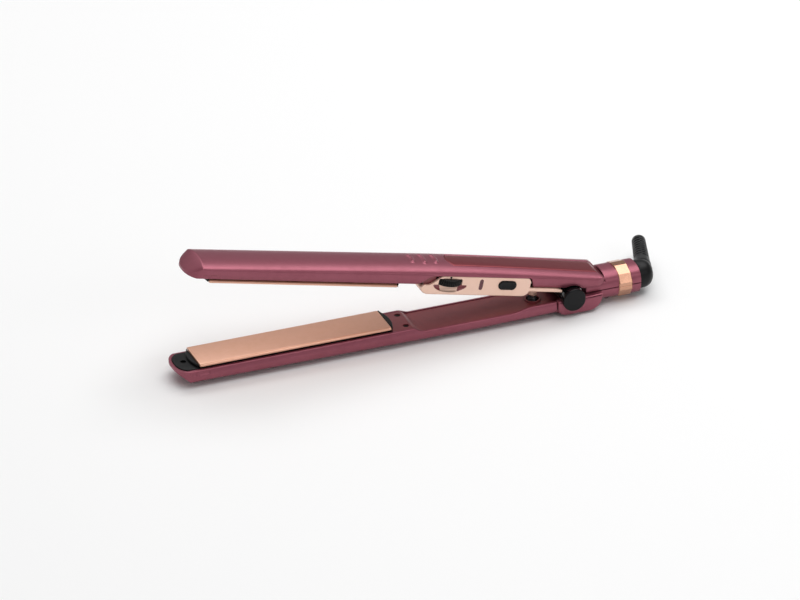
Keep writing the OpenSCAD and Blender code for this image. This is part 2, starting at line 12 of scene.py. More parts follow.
import bmesh
import bpy
import numpy as np
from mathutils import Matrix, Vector


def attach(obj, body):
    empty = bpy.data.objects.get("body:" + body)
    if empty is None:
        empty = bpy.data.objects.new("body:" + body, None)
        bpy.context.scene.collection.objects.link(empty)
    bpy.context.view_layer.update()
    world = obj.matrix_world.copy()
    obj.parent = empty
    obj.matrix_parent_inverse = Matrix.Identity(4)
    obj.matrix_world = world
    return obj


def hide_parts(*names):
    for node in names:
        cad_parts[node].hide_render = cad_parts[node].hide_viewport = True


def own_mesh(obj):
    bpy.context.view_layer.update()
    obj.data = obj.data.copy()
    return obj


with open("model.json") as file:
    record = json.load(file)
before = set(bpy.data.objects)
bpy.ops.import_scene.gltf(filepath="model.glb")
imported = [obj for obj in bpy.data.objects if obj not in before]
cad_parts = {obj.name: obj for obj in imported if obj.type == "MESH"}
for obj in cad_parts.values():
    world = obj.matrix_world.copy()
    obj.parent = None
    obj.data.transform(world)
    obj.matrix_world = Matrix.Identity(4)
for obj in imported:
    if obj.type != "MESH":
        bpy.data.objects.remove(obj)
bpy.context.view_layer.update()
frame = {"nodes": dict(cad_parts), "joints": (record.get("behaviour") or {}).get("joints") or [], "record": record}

# %% [markdown]
# ## Arm coordinates
# Both arms are easiest to think about shut, one lying on the other, measured in millimetres from the
# hinge axis: x runs from the tip (negative) to the cable (positive), y across, and z up from the
# table. Small functions then put a shape in the frame: one only moves it, another also swings it
# open, and a third first turns a lower-arm shape over, to make its twin.

# %% Arm coordinates
MM = 0.001
JOINTS = {j["name"]: j for j in frame["joints"]}
HINGE = np.array(JOINTS["arm_hinge"]["pos_m"]) / MM
OPENING = math.radians(JOINTS["arm_hinge"]["range_deg"][1])
PLATES_OVER_HINGE = 2.5
PLATE_Z = HINGE[2] + PLATES_OVER_HINGE


def swing(points, angle):
    """Points turned about the hinge axis, tips upwards, by an angle."""
    x, up = points[..., 0], points[..., 2] - HINGE[2]
    return np.stack([x * math.cos(angle) + up * math.sin(angle), points[..., 1],
                     up * math.cos(angle) - x * math.sin(angle) + HINGE[2]], -1)


def on_lower(points):
    """Arm millimetres to frame metres for the arm that lies still: x moves to the hinge's place."""
    return (np.asarray(points, float) + [HINGE[0], 0, 0]) * MM


def on_upper(points):
    """The same for the upper arm: each point is swung by the opening angle first."""
    return on_lower(swing(np.asarray(points, float), OPENING))


def off_upper(points):
    """Back from frame metres to upper-arm millimetres."""
    return swing(np.asarray(points, float) / MM - [HINGE[0], 0, 0], -OPENING)


def on_upper_twin(points):
    """A lower-arm shape mirrored in the plane where the plates meet, then put on the upper arm."""
    p = np.array(points, float)
    p[..., 2] = 2 * PLATE_Z - p[..., 2]
    return on_upper(p)


ARMS = {"lower": on_lower, "upper": on_upper_twin}
print("hinge at", HINGE, "opens by", round(math.degrees(OPENING), 2), "degrees")

# %% [markdown]
# ## Meshes from grids
# Nearly every part here is a loop of points carried along a line: a shell, a ring, a wheel. So one
# helper turns a grid of points into quads, closes the loops, and zips the ends shut. Doubled points
# (a pole, a pinched tip) are merged, and the faces are then turned outwards.

# %% Meshes from grids
SAME_POINT, FLAT_ANGLE, CRISP = 1e-6, math.radians(1), 35


def add_object(name, data):
    obj = bpy.data.objects.new(name, data)
    bpy.context.scene.collection.objects.link(obj)
    return obj


def clean(mesh, crisp, join_flat=False):
    """Merges doubled points and shades the mesh smooth, except edges sharper than `crisp` degrees.

    A new mesh also loses its empty faces and has its faces turned outwards; a copied one, whose
    triangles already point the right way, has those that lie flat joined instead.
    """
    bm = bmesh.new()
    bm.from_mesh(mesh)
    bmesh.ops.remove_doubles(bm, verts=bm.verts, dist=SAME_POINT)
    if join_flat:
        bmesh.ops.dissolve_limit(bm, angle_limit=FLAT_ANGLE, verts=bm.verts, edges=bm.edges)
    else:
        bmesh.ops.dissolve_degenerate(bm, edges=bm.edges, dist=SAME_POINT)
        bmesh.ops.recalc_face_normals(bm, faces=bm.faces)
    bm.to_mesh(mesh)
    bm.free()
    mesh.shade_smooth()
    mesh.set_sharp_from_angle(angle=math.radians(crisp))


def walls(rows, loop):
    """Quads between neighbouring rows of a grid whose rows are closed loops."""
    i, j = np.meshgrid(np.arange(rows - 1), np.arange(loop), indexing="ij")
    k = (j + 1) % loop
    corners = [i * loop + j, i * loop + k, (i + 1) * loop + k, (i + 1) * loop + j]
    return np.stack(corners, -1).reshape(-1, 4)


def end_caps(rows, loop):
    """The first and the last loop zipped shut, from side to side."""
    a = np.arange(loop // 2 - 1)
    cap = np.stack([a, a + 1, loop - 2 - a, loop - 1 - a], -1)
    return np.concatenate([cap[:, ::-1], cap + (rows - 1) * loop])


def new_object(name, points, faces, crisp=CRISP):
    """An object from points in metres and quads."""
    mesh = bpy.data.meshes.new(name)
    mesh.from_pydata(points.reshape(-1, 3), [], faces.tolist())
    clean(mesh, crisp)
    return add_object(name, mesh)


def loft(name, grids, place, crisp=CRISP):
    """One object from one or more grids (row, point in the closed loop, xyz), put in by `place`."""
    grids = [grids] if isinstance(grids, np.ndarray) else grids
    points, faces, count = [], [], 0
    for g in grids:
        rows, loop = g.shape[:2]
        points.append(place(g).reshape(-1, 3))
        faces += [walls(rows, loop) + count, end_caps(rows, loop) + count]
        count += rows * loop
    return new_object(name, np.concatenate(points), np.concatenate(faces), crisp)


def cut(obj, cutters, crisp=CRISP, overlaps=False):
    """Takes the cutters' volumes away from an object, then removes the cutters.

    overlaps says that the object is made of several forms that run into each other.
    """
    for c in cutters:
        tool = obj.modifiers.new("cut", "BOOLEAN")
        tool.operation = "DIFFERENCE"
        tool.solver = "EXACT"
        tool.use_self = overlaps
        tool.object = c
    shown = obj.evaluated_get(bpy.context.evaluated_depsgraph_get())
    mesh = bpy.data.meshes.new_from_object(shown)
    obj.modifiers.clear()
    obj.data = mesh
    for c in cutters:
        bpy.data.objects.remove(c)
    clean(mesh, crisp)
    return obj


def piece(obj, body, slot, *nodes):
    """Hangs a piece on its body, gives it its finish and hides the plain parts it stands for."""
    obj.data.materials.clear()
    obj.data.materials.append(FINISH[slot])
    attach(obj, body)
    if nodes:
        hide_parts(*nodes)
    print(obj.name, len(obj.data.polygons), "faces on", body)
    return obj


PLACES = {"lower_arm": on_lower, "swivel": on_lower, "upper_arm": on_upper, "dial": on_upper,
          "button": on_upper}


def build(name, grids, body, slot, *nodes, place=None, crisp=CRISP):
    """A loft put in by its body's own placing, or by `place`, and hung on that body."""
    return piece(loft(name, grids, place or PLACES[body], crisp), body, slot, *nodes)


# %% [markdown]
# ## Curves that come back again and again
# A few outlines make most of the shapes: a superellipse (a circle pushed towards a rectangle), a
# polygon with rounded corners, a bar with half-round ends, a turned profile, and a flat outline with
# a thickness and rounded edges. Ramps and smooth steps say how a size changes along the arm.

# %% Curves
NEARLY_STRAIGHT = 1.55
UP = (0, 0, 1)


def ramp(x, start, end):
    """0 at `start`, 1 at `end`, straight between and level outside."""
    return np.clip((x - start) / (end - start), 0, 1)


def step(x, low, high):
    """A ramp with soft ends: 3t^2 - 2t^3."""
    t = ramp(x, low, high)
    return t * t * (3 - 2 * t)


def smooth_max(a, b, k):
    """The larger of a and b, with the corner between them rounded over about k."""
    return 0.5 * (a + b + np.sqrt((a - b) ** 2 + k * k))


def smooth_min(a, b, k):
    """The smaller of a and b, with a rounded corner."""
    return -smooth_max(-a, -b, k)


def quarter(steps, start=0, end=90):
    """Angles in radians, evenly spaced between two angles in degrees."""
    return np.radians(np.linspace(start, end, steps))


def superellipse(t, a, b, n):
    """Point at angle t on |x/a|^n + |y/b|^n = 1."""
    c, s = np.cos(t), np.sin(t)
    return np.stack([a * np.sign(c) * np.abs(c) ** (2 / n),
                     b * np.sign(s) * np.abs(s) ** (2 / n)], -1)


def mirrored(y, z):
    """Half curves that end on the middle line, made whole: the mirrored half first, then back."""
    return np.concatenate([-y, y[:, -2::-1]], 1), np.concatenate([z, z[:, -2::-1]], 1)


def wall_loop(x, outer, inner):
    """Closed loops from an outer curve (y, z) and an inner curve run backwards, all at x."""
    return np.concatenate([np.stack([x, *outer], -1), np.stack([x, *inner], -1)[:, ::-1]], 1)


def turned(profile, around, origin, steps=64, ripple=None):
    """A profile of (radius, distance) turned about the axis `around` through `origin`.

    ripple(angle, radius, distance) may return a new radius, for teeth and slots.
    """
    profile = np.asarray(profile, float)
    axis = Vector(around).normalized()
    side = axis.orthogonal().normalized()
    other = np.array(axis.cross(side))
    t = np.linspace(0, 2 * math.pi, steps, endpoint=False)
    r = np.repeat(profile[:, :1], steps, 1)
    d = np.repeat(profile[:, 1:], steps, 1)
    if ripple:
        r = ripple(t[None, :], r, d)
    spokes = np.cos(t)[:, None] * np.array(side) + np.sin(t)[:, None] * other
    return np.array(origin) + d[..., None] * np.array(axis) + r[..., None] * spokes


def tube(path, radius, sides=10):
    """A round tube along a path of points: each ring stands square to the path there."""
    t = np.gradient(path, axis=0)
    t /= np.linalg.norm(t, axis=1)[:, None]
    a = np.cross(t, [0.1, 0.2, 1.0])
    a /= np.linalg.norm(a, axis=1)[:, None]
    b = np.cross(t, a)
    k = np.linspace(0, 2 * math.pi, sides, endpoint=False)[None, :, None]
    return path[:, None] + radius * (np.cos(k) * a[:, None] + np.sin(k) * b[:, None])


def outline_normals(outline):
    """Outward unit normals of a closed anticlockwise outline."""
    d = np.roll(outline, -1, 0) - np.roll(outline, 1, 0)
    n = np.stack([d[:, 1], -d[:, 0]], -1)
    return n / np.linalg.norm(n, axis=1)[:, None]


def slab(outline, low, high, edge, axes, edge_low=None):
    """A flat outline given a thickness, from low to high, with quarter-round edges of radius `edge`.

    axes says which coordinates the outline's two values and the thickness go to, such as "xzy".
    """
    edge_low = edge if edge_low is None else edge_low
    q = quarter(5)
    inset = np.concatenate([edge_low * (1 - np.sin(q)), edge * (1 - np.cos(q))])
    level = np.concatenate([low + edge_low * (1 - np.cos(q)), high - edge * (1 - np.sin(q))])
    flat = outline[None] - inset[:, None, None] * outline_normals(outline)[None]
    grid = np.zeros((len(level), len(outline), 3))
    grid[..., "xyz".index(axes[0])] = flat[..., 0]
    grid[..., "xyz".index(axes[1])] = flat[..., 1]
    grid[..., "xyz".index(axes[2])] = level[:, None]
    return grid


def rounded(points, radius, steps=6):
    """A closed polygon with each corner replaced by an arc that touches both sides.

    A corner that hardly turns is kept as it is, and the number of points is made even.
    """
    points = np.asarray(points, float)
    radius = np.broadcast_to(radius, len(points))
    out = []
    for before, here, after, r in zip(np.roll(points, 1, 0), points, np.roll(points, -1, 0), radius):
        u, v = before - here, after - here
        u, v = u / np.linalg.norm(u), v / np.linalg.norm(v)
        half = math.acos(np.clip(u @ v, -1, 1)) / 2
        if half > NEARLY_STRAIGHT:
            out.append([here])
            continue
        a, b = here + u * r / math.tan(half), here + v * r / math.tan(half)
        centre = here + (u + v) / np.linalg.norm(u + v) * r / math.sin(half)
        t = np.linspace(0, 1, steps)[:, None]
        arc = (1 - t) * a + t * b - centre
        out.append(centre + arc / np.linalg.norm(arc, axis=1)[:, None] * r)
    result = np.concatenate(out)
    if len(result) % 2:
        result = np.concatenate([result, (result[-1:] + result[:1]) / 2])
    return result


def stadium(length, height, steps=24):
    """Outline of a bar with half-round ends, lying or upright, centred on zero, anticlockwise."""
    r = min(length, height) / 2
    t = np.linspace(-90, 90, steps)
    t = np.radians(np.concatenate([t, t + 180]))
    c = np.stack([np.cos(t), np.sin(t)], -1) * r
    if length >= height:
        return c + np.where(c[:, :1] >= -1e-9, 1, -1) * [length / 2 - r, 0]
    return c[:, ::-1] * [-1, 1] + np.repeat([1, -1], steps)[:, None] * [0, height / 2 - r]


def box(x0, x1, y0, y1, r):
    """Outline of a box with rounded corners."""
    return rounded([(x0, y0), (x1, y0), (x1, y1), (x0, y1)], r)


# %% [markdown]
# ## Effects that several finishes share
# Moulded plastic has a fine even grain, brushed metal has long faint lines, pearl paint has tiny
# flakes, and anything handled has soft patches that are a little duller. Each effect is one node
# group with named sockets; it gives out only a height or a mask, and each finish sets its own scale.

# %% Node groups
def group(name, scale, output):
    """A new shader node group with the inputs Place and Scale, and one output."""
    g = bpy.data.node_groups.new(name, "ShaderNodeTree")
    g.interface.new_socket("Place", in_out="INPUT", socket_type="NodeSocketVector")
    size = g.interface.new_socket("Scale", in_out="INPUT", socket_type="NodeSocketFloat")
    size.default_value = scale
    g.interface.new_socket(output, in_out="OUTPUT", socket_type="NodeSocketFloat")
    enter, leave = g.nodes.new("NodeGroupInput"), g.nodes.new("NodeGroupOutput")
    return g, enter.outputs["Place"], enter.outputs["Scale"], leave.inputs[output]


def feed(tree, socket, value):
    """Links a socket into another, or sets a number on it."""
    if isinstance(value, bpy.types.NodeSocket):
        tree.links.new(value, socket)
    else:
        socket.default_value = value


def math_node(tree, kind, *values):
    """A Math node; each value is a socket or a number."""
    n = tree.nodes.new("ShaderNodeMath")
    n.operation = kind
    for socket, value in zip(n.inputs, values):
        feed(tree, socket, value)
    return n.outputs[0]


def noise_node(tree, place, scale, detail):
    """A Noise texture's value at `place`; scale is a socket or a number."""
    n = tree.nodes.new("ShaderNodeTexNoise")
    n.inputs["Detail"].default_value = detail
    feed(tree, n.inputs["Vector"], place)
    feed(tree, n.inputs["Scale"], scale)
    return n.outputs["Fac"]


def make_grain():
    """Fine even moulded grain: fast noise less its own blur, as a height about one half."""
    g, place, scale, out = group("moulded_grain", 4.0, "Height")
    fine = noise_node(g, place, scale, 3)
    broad = noise_node(g, place, math_node(g, "MULTIPLY", scale, 0.31), 1)
    feed(g, out, math_node(g, "SUBTRACT", math_node(g, "MULTIPLY", fine, 1.5), broad))
    return g


def make_brushing():
    """Long lines along x: noise on coordinates squeezed a hundredfold across the lines."""
    g, place, scale, out = group("brushed_lines", 3.0, "Height")
    m = g.nodes.new("ShaderNodeMapping")
    m.inputs["Scale"].default_value = (0.03, 4.0, 4.0)
    feed(g, m.inputs["Vector"], place)
    feed(g, out, noise_node(g, m.outputs["Vector"], scale, 4))
    return g


def make_flakes():
    """Pearl flakes: the random value of small cells, kept where it is high."""
    g, place, scale, out = group("pearl_flakes", 6.0, "Mask")
    cells = g.nodes.new("ShaderNodeTexVoronoi")
    feed(g, cells.inputs["Vector"], place)
    feed(g, cells.inputs["Scale"], scale)
    parts = g.nodes.new("ShaderNodeSeparateColor")
    feed(g, parts.inputs["Color"], cells.outputs["Color"])
    feed(g, out, math_node(g, "POWER", parts.outputs["Red"], 3.0))
    return g


def make_handling():
    """Soft dull patches from handling: two slow noises multiplied, then stretched to 0..1."""
    g, place, scale, out = group("handling_marks", 0.05, "Mask")
    slow = noise_node(g, place, scale, 3)
    quick = noise_node(g, place, math_node(g, "MULTIPLY", scale, 5.3), 2)
    both = math_node(g, "MULTIPLY", slow, quick)
    feed(g, out, math_node(g, "MULTIPLY_ADD", both, 3.0, -0.35))
    return g


GROUPS = {"grain": make_grain(), "brushing": make_brushing(), "flakes": make_flakes(),
          "handling": make_handling()}
print("groups:", ", ".join(g.name for g in GROUPS.values()))

# %% [markdown]
# ## Finishes
# Each finish is one Principled shader. The base colour drifts a little between two near tones by
# the handling mask and the flakes, roughness follows the same mask, and a bump gives the grain.
# Values that are the same everywhere are set on the shader itself.

# %% Finishes
PATCH_SCALE, PATCH_SHARE, FLAKE_SCALE = 0.045, 0.6, 5.0


def srgb(code):
    """Linear colour from a six-digit screen colour."""
    c = np.array([int(code[i:i + 2], 16) for i in (0, 2, 4)]) / 255
    return (*np.where(c <= 0.04045, c / 12.92, ((c + 0.055) / 1.055) ** 2.4), 1.0)


def use_group(tree, kind, place, scale):
    """Places one of the shared groups with its own scale and returns its output."""
    n = tree.nodes.new("ShaderNodeGroup")
    n.node_tree = GROUPS[kind]
    feed(tree, n.inputs["Place"], place)
    feed(tree, n.inputs["Scale"], scale)
    return n.outputs[0]


def finish(name, tone, deep, metallic, rough, spread, grain=4.0, bump=0.02, flakes=0.0,
           brushed=0.0, coat=0.0, coat_rough=0.1, specular=0.5):
    """A material: base colour between `tone` and `deep`, roughness `rough` give or take `spread`.

    grain or brushed is the scale of its relief, and bump that relief's depth in millimetres.
    """
    m = bpy.data.materials.new(name)
    m.use_nodes = True
    t = m.node_tree
    shader = t.nodes["Principled BSDF"]
    where = t.nodes.new("ShaderNodeTexCoord")
    in_mm = t.nodes.new("ShaderNodeMapping")
    in_mm.inputs["Scale"].default_value = (1 / MM, 1 / MM, 1 / MM)
    feed(t, in_mm.inputs["Vector"], where.outputs["Object"])
    place = in_mm.outputs["Vector"]
    marks = use_group(t, "handling", place, PATCH_SCALE)
    share = math_node(t, "MULTIPLY", marks, PATCH_SHARE)
    if flakes:
        sparkle = math_node(t, "MULTIPLY", use_group(t, "flakes", place, FLAKE_SCALE), flakes)
        share = math_node(t, "SUBTRACT", share, sparkle)
    clamp = t.nodes.new("ShaderNodeClamp")
    feed(t, clamp.inputs["Value"], share)
    mix = t.nodes.new("ShaderNodeMix")
    mix.data_type = "RGBA"
    feed(t, mix.inputs["A"], srgb(tone))
    feed(t, mix.inputs["B"], srgb(deep))
    feed(t, mix.inputs["Factor"], clamp.outputs[0])
    feed(t, shader.inputs["Base Color"], mix.outputs["Result"])
    feed(t, shader.inputs["Roughness"],
         math_node(t, "MULTIPLY_ADD", marks, spread, rough - spread / 3))
    relief = t.nodes.new("ShaderNodeBump")
    relief.inputs["Strength"].default_value = 1.0
    relief.inputs["Distance"].default_value = bump * MM
    feed(t, relief.inputs["Height"],
         use_group(t, "brushing" if brushed else "grain", place, brushed or grain))
    feed(t, shader.inputs["Normal"], relief.outputs["Normal"])
    uniform = {"Metallic": metallic, "Specular IOR Level": specular, "Coat Weight": coat,
               "Coat Roughness": coat_rough}
    for socket, value in uniform.items():
        feed(t, shader.inputs[socket], value)
    return m


FINISH = {
    "burgundy_shell": finish("pearl_burgundy", "934e5d", "84414f", 0.62, 0.37, 0.05, 3.0, 0.004,
                             flakes=0.5, coat=0.12, coat_rough=0.25),
    "burgundy_inset": finish("dark_burgundy", "84383f", "762f36", 0.65, 0.34, 0.05, 3.0, 0.004,
                             flakes=0.3),
    "burgundy_inner": finish("moulded_burgundy", "84393f", "743036", 0.1, 0.32, 0.08, 3.5, 0.008,
                             specular=0.6),
    "coated_plate": finish("ceramic_rose_gold", "e6b096", "dca486", 0.4, 0.3, 0.05, bump=0.006,
                           brushed=1.2, coat=0.5, coat_rough=0.15),
    "rose_gold_panel": finish("satin_rose_gold", "f2ccb9", "ecc3ae", 0.35, 0.36, 0.05, 5.0, 0.006),
    "rose_gold_trim": finish("polished_rose_gold", "cc9c83", "c08e75", 1.0, 0.24, 0.05, bump=0.002,
                             brushed=1.0),
    "black_plastic": finish("black_moulded", "0f0f10", "161617", 0.0, 0.36, 0.12, specular=0.2),
    "black_gloss": finish("black_gloss", "0e0e10", "131315", 0.0, 0.16, 0.05, 2.0, 0.002,
                          specular=0.2),
    "black_rubber": finish("black_rubber", "19191b", "222224", 0.0, 0.36, 0.08, 5.0, 0.01,
                           specular=0.6),
    "silicone": finish("pale_silicone", "bdb8ad", "a9a498", 0.0, 0.55, 0.1, 3.0, 0.01),
    "ceramic": finish("heater_ceramic", "e8e6df", "dbd8cf", 0.0, 0.3, 0.1, 3.0, 0.01),
    "spring_steel": finish("spring_steel", "5c5c60", "4c4c50", 1.0, 0.3, 0.1, bump=0.004,
                           brushed=1.0),
    "dark_screws": finish("blackened_steel", "3a3836", "2c2b2a", 0.9, 0.4, 0.1, 3.0, 0.006),
    "brass": finish("slip_ring_brass", "c9a04a", "b28a3c", 1.0, 0.3, 0.1, 3.0, 0.004),
    "green_board": finish("green_board", "2f5b3a", "274d31", 0.0, 0.4, 0.1, 1.0, 0.01),
    "white_leads": finish("white_leads", "e6e2da", "d8d3c8", 0.0, 0.5, 0.1, 3.0, 0.01),
    "dark_window": finish("tinted_window", "5a1f2a", "4c1822", 0.0, 0.2, 0.05, 2.0, 0.002,
                          coat=0.4),
}
print("finishes:", ", ".join(FINISH))

# %% [markdown]
# ## The camera
# A long lens stands nearly four metres off, to the left of the controls and above, so the arms
# hardly narrow with distance. It looks at a point between the tips and the hinge.

# %% Camera
CAMERA_TURN = math.radians(-21.95)
CAMERA_RISE = math.radians(28.52)
CAMERA_AWAY = 3.677
CAMERA_AIM = [-105.0, 0, 24.8]
LENS, SENSOR = 280.7, 36


def make_camera():
    """A camera on a sphere round the aim point, turned to face it."""
    back = Vector((math.sin(CAMERA_TURN) * math.cos(CAMERA_RISE),
                   -math.cos(CAMERA_TURN) * math.cos(CAMERA_RISE), math.sin(CAMERA_RISE)))
    data = bpy.data.cameras.new("camera")
    data.lens = LENS
    data.sensor_width = SENSOR
    data.clip_start, data.clip_end = 0.1, 20
    cam = add_object("camera", data)
    cam.location = Vector(on_lower(CAMERA_AIM)) + back * CAMERA_AWAY
    cam.rotation_mode = "QUATERNION"
    cam.rotation_quaternion = (-back).to_track_quat("-Z", "Y")
    bpy.context.scene.camera = cam
    return cam


camera = make_camera()
print("camera at", tuple(round(v, 3) for v in camera.location))

# %% [markdown]
# ## The shells' section
# Each arm is a thin trough. Its section bulges to its widest a little above the outer face and pulls
# in towards the split edge, and its tip is cut by a slope that meets the section in a soft ridge.
# A trough is one closed loop: the outer curve, over the edge, and the inner curve back. That loop is
# carried along x, so wall, edge and inside are one surface. The upper arm is the same, turned over.

# %% The shells' section
RIM = PLATE_Z - 3.4
ARM_TIP, ARM_END, ARM_HALF = -249.0, -10.0, 13.8
WALL, EDGE, INNER_EDGE = 1.6, 0.8, 0.15
SIDE_MID, SIDE_LOW, SIDE_UP, SIDE_POWER = 5.6, 5.6, 9.8, 2.5
BELLY_POWER = 2.2
TIP_DEPTH, TIP_POWER = 12.0, 2.4
FACET_FROM, FACET_BAND = -237.5, 1.5
SOLID_TIP = 0.5
SNAPS = [(-239.5, 1.6), (-233.0, 3.4)]


def side_half(h, d):
    """Half width of the section at height h above its widest level, moved in by d."""
    h = np.clip(h, 0, SIDE_UP * 0.999)
    return (ARM_HALF - d) * (1 - (h / SIDE_UP) ** SIDE_POWER) ** (1 / SIDE_POWER)


def belly(y, lift, d=0.0):
    """Height of the outer face below the widest level at half width y; lift raises its low line."""
    u = np.clip(np.abs(y) / (ARM_HALF - d), 0, 1)
    return SIDE_MID - (SIDE_LOW - lift - d) * (1 - u ** BELLY_POWER) ** (1 / BELLY_POWER)


def half_curve(rim, d, edge, lift):
    """One side of the section, from the split edge at height `rim` (one per row) to the middle.

    First the edge's own quarter round, then the side in even steps of height, then the belly in
    steps of angle. Returns half widths and heights, row by row.
    """
    rim = rim[:, None]
    q = quarter(6, 90, 0)[None]
    top_half = side_half(rim - edge - SIDE_MID, d)
    y_edge, z_edge = top_half - edge + edge * np.cos(q), rim - edge + edge * np.sin(q)
    z_side = (rim - edge) + (SIDE_MID - rim + edge) * np.linspace(0, 1, 12)[None, 1:]
    y_side = side_half(z_side - SIDE_MID, d)
    c = np.cos(quarter(40)[1:]) ** (2 / BELLY_POWER)
    c[-1] = 0
    y_belly = np.tile((ARM_HALF - d) * c, (len(rim), 1))
    y = np.concatenate([y_edge, y_side, y_belly], 1)
    z = np.concatenate([z_edge, z_side, belly(y_belly, lift[:, None], d)], 1)
    return y, z


def plan_half(x, d=0.0):
    """Half width allowed by the rounded tip, moved in by d."""
    u = np.clip((ARM_TIP + TIP_DEPTH - x) / (TIP_DEPTH - d), 0, 1)
    return (ARM_HALF - d) * (1 - u ** TIP_POWER) ** (1 / TIP_POWER)


def trough(x, rim, lift, cut_off, shape, narrow=np.inf):
    """The closed loop of a trough at each x: outer side, edge, inner side, in lower-arm form.

    rim and lift are the heights of the split edge and of the lowest outer line at each x;
    cut_off(x, y) is a slope that may cut deeper; shape(x, y, z) moves the outer surface
    afterwards; narrow limits the half width.
    """
    column = x[:, None]
    solid = plan_half(x, WALL) < SOLID_TIP
    yo, zo = half_curve(rim, 0.0, EDGE, lift)
    yi, zi = half_curve(rim, WALL, INNER_EDGE, lift)
    zi = np.maximum(zi, cut_off(column, yi) + WALL)
    outer_limit = np.minimum(plan_half(x), narrow)
    inner_limit = np.minimum(np.maximum(plan_half(x, WALL), 0), narrow - WALL)
    yo = np.maximum(smooth_min(yo, outer_limit[:, None], 0.1), 0)
    yi = np.minimum(yi, inner_limit[:, None])
    zi = np.where(solid[:, None], rim[:, None] - 0.02, np.minimum(zi, rim[:, None]))
    zo = np.minimum(smooth_max(zo, cut_off(column, yo), 0.2), rim[:, None])
    yo, zo = mirrored(yo, zo)
    along = np.repeat(column, yo.shape[1], 1)
    return wall_loop(along, shape(along, yo, zo), mirrored(yi, zi))


def stations(*runs):
    """Sorted x values from runs of (from, to, spacing)."""
    return np.unique(np.round(np.concatenate(
        [np.linspace(a, b, max(2, int(round((b - a) / s)) + 1)) for a, b, s in runs]), 4))


def arm_stations(*runs):
    """The arm's x values: crowded towards the blunt tip, fine past the snap marks, then the runs."""
    nose = ARM_TIP + TIP_DEPTH * (1 - np.sin(quarter(40)) ** (2 / TIP_POWER))
    return np.unique(np.round(np.concatenate([nose, stations((-242, -228, 0.3), *runs)]), 3))


def facet(x, y):
    """Height of the tip's sloped face: straight in the middle and steeper at the sides."""
    across = np.clip(np.abs(y) / ARM_HALF, 0, 1)
    crown = 0.45 + 0.55 * (1 - across ** TIP_POWER) ** (1 / TIP_POWER)
    return (RIM - FACET_BAND) * ramp(x, FACET_FROM, ARM_TIP) ** 1.15 / crown


def snap_marks(x, y, z):
    """Two small hollows in the rim's side near the tip, where the halves snap together."""
    for at, half in SNAPS:
        inside = 1 - step(np.abs(x - at), half - 0.6, half + 0.5)
        y = y - np.sign(y) * 0.45 * inside * (1 - step(np.abs(z - RIM + 1.9), 0.5, 1.3))
    return y, z


print("shell section: half width", ARM_HALF, "edge at", RIM)

# %% [markdown]
# ## Lower shell
# The lower shell's edge is level along the plate, drops at the handle to make room for the other
# arm's control panel, and climbs again before the hinge. Its underside rises a little at each end.

# %% Lower shell
RECESS_FROM, RECESS_Z = -101.7, 8.5
RAMP_FROM, RAMP_TO, RAMP_Z = -37.6, -26.3, 10.4
FLAT_FROM, FLAT_TO = -90.0, -60.0
TIP_RISE, END_RISE = 1.9, 1.5


def lower_rim(x):
    """Edge height of the lower shell: level, down a short slope, level, up a long ramp."""
    down = step(x, RECESS_FROM - 0.8, RECESS_FROM + 7.5)
    up = step(x, RAMP_FROM - 1.5, RAMP_TO + 1.5)
    return RIM - (RIM - RECESS_Z) * down + (RAMP_Z - RECESS_Z) * up


def make_lower_shell():
    x = arm_stations((-228, -104, 2.0), (-104, -92, 0.3), (-92, -40, 2.0), (-40, -24, 0.6),
                     (-24, ARM_END, 1.4))
    lift = TIP_RISE * ramp(x, FLAT_FROM, FACET_FROM) + END_RISE * ramp(x, FLAT_TO, ARM_END)
    grid = trough(x, lower_rim(x), lift, facet, snap_marks)
    build("lower_arm_shell", grid, "lower_arm", "burgundy_shell", "lower_shell")


make_lower_shell()

# %% [markdown]
# ## Upper shell
# The upper shell is the same trough turned over, and it runs on past the hinge as a hood over the
# tail. Its lower edge follows the control panel in a wave, then the thin strip behind it, then goes
# round the hinge cap, and climbs to the end of the hood. On top are three short grip ribs and a
# shallow bed for the inset strip. Ribs and bed are moved into the outer surface where they belong.

# %% Upper shell
PANEL_FROM, PANEL_TO = -100.4, -29.8
PANEL_TOP, STRIP_TOP = 23.9, 17.6
HOOD_TO, HOOD_NARROW = 19.8, 2.4
HOOD_EDGE = [0, 8, 16.5, 18.8, 20.8], [STRIP_TOP, 17.9, 20.2, 21.6, 24.2]
NOTCH_R = 7.7
GRIPS, GRIP_RISE, GRIP_HALF = [(-104.5, 5.0), (-97.0, 6.0), (-89.5, 5.3)], 0.9, 1.05
INSET_HALF, INSET_CORNER, INSET_NOSE, INSET_TO = 7.3, -79.2, 3.0, 18.6
BED_DEPTH, BED_MARGIN = 0.9, 0.15
CROWN_FROM, CROWN_TO, CROWN_RISE = -70, 15, 1.9


def upper_edge(x):
    """Height of the upper shell's lower edge when shut: wave, level, drop, notch, climb."""
    plate_edge = 2 * PLATE_Z - RIM
    z = plate_edge + (PANEL_TOP - plate_edge) * step(x, PANEL_FROM - 3.5, PANEL_FROM + 7.5)
    z = z - (PANEL_TOP - STRIP_TOP) * step(x, PANEL_TO - 0.6, PANEL_TO + 3.4)
    z = np.where(x > 0, np.interp(x, *HOOD_EDGE), z)
    notch = HINGE[2] + np.sqrt(np.clip(NOTCH_R ** 2 - x ** 2, 0, None))
    return np.where(np.abs(x) < NOTCH_R, np.maximum(z, notch), z)


def inset_front(y):
    """Front edge of the inset: a shallow arc that meets the straight sides in corners."""
    return INSET_CORNER - INSET_NOSE * (1 - np.clip(np.abs(y) / INSET_HALF, 0, 1) ** 2)


def inset_inside(x, y, grow):
    """How deep a point lies inside the inset's outline, in millimetres (negative outside)."""
    side = INSET_HALF + grow - np.abs(y)
    return np.minimum(np.minimum(side, x - inset_front(y) + grow), INSET_TO + grow - x)


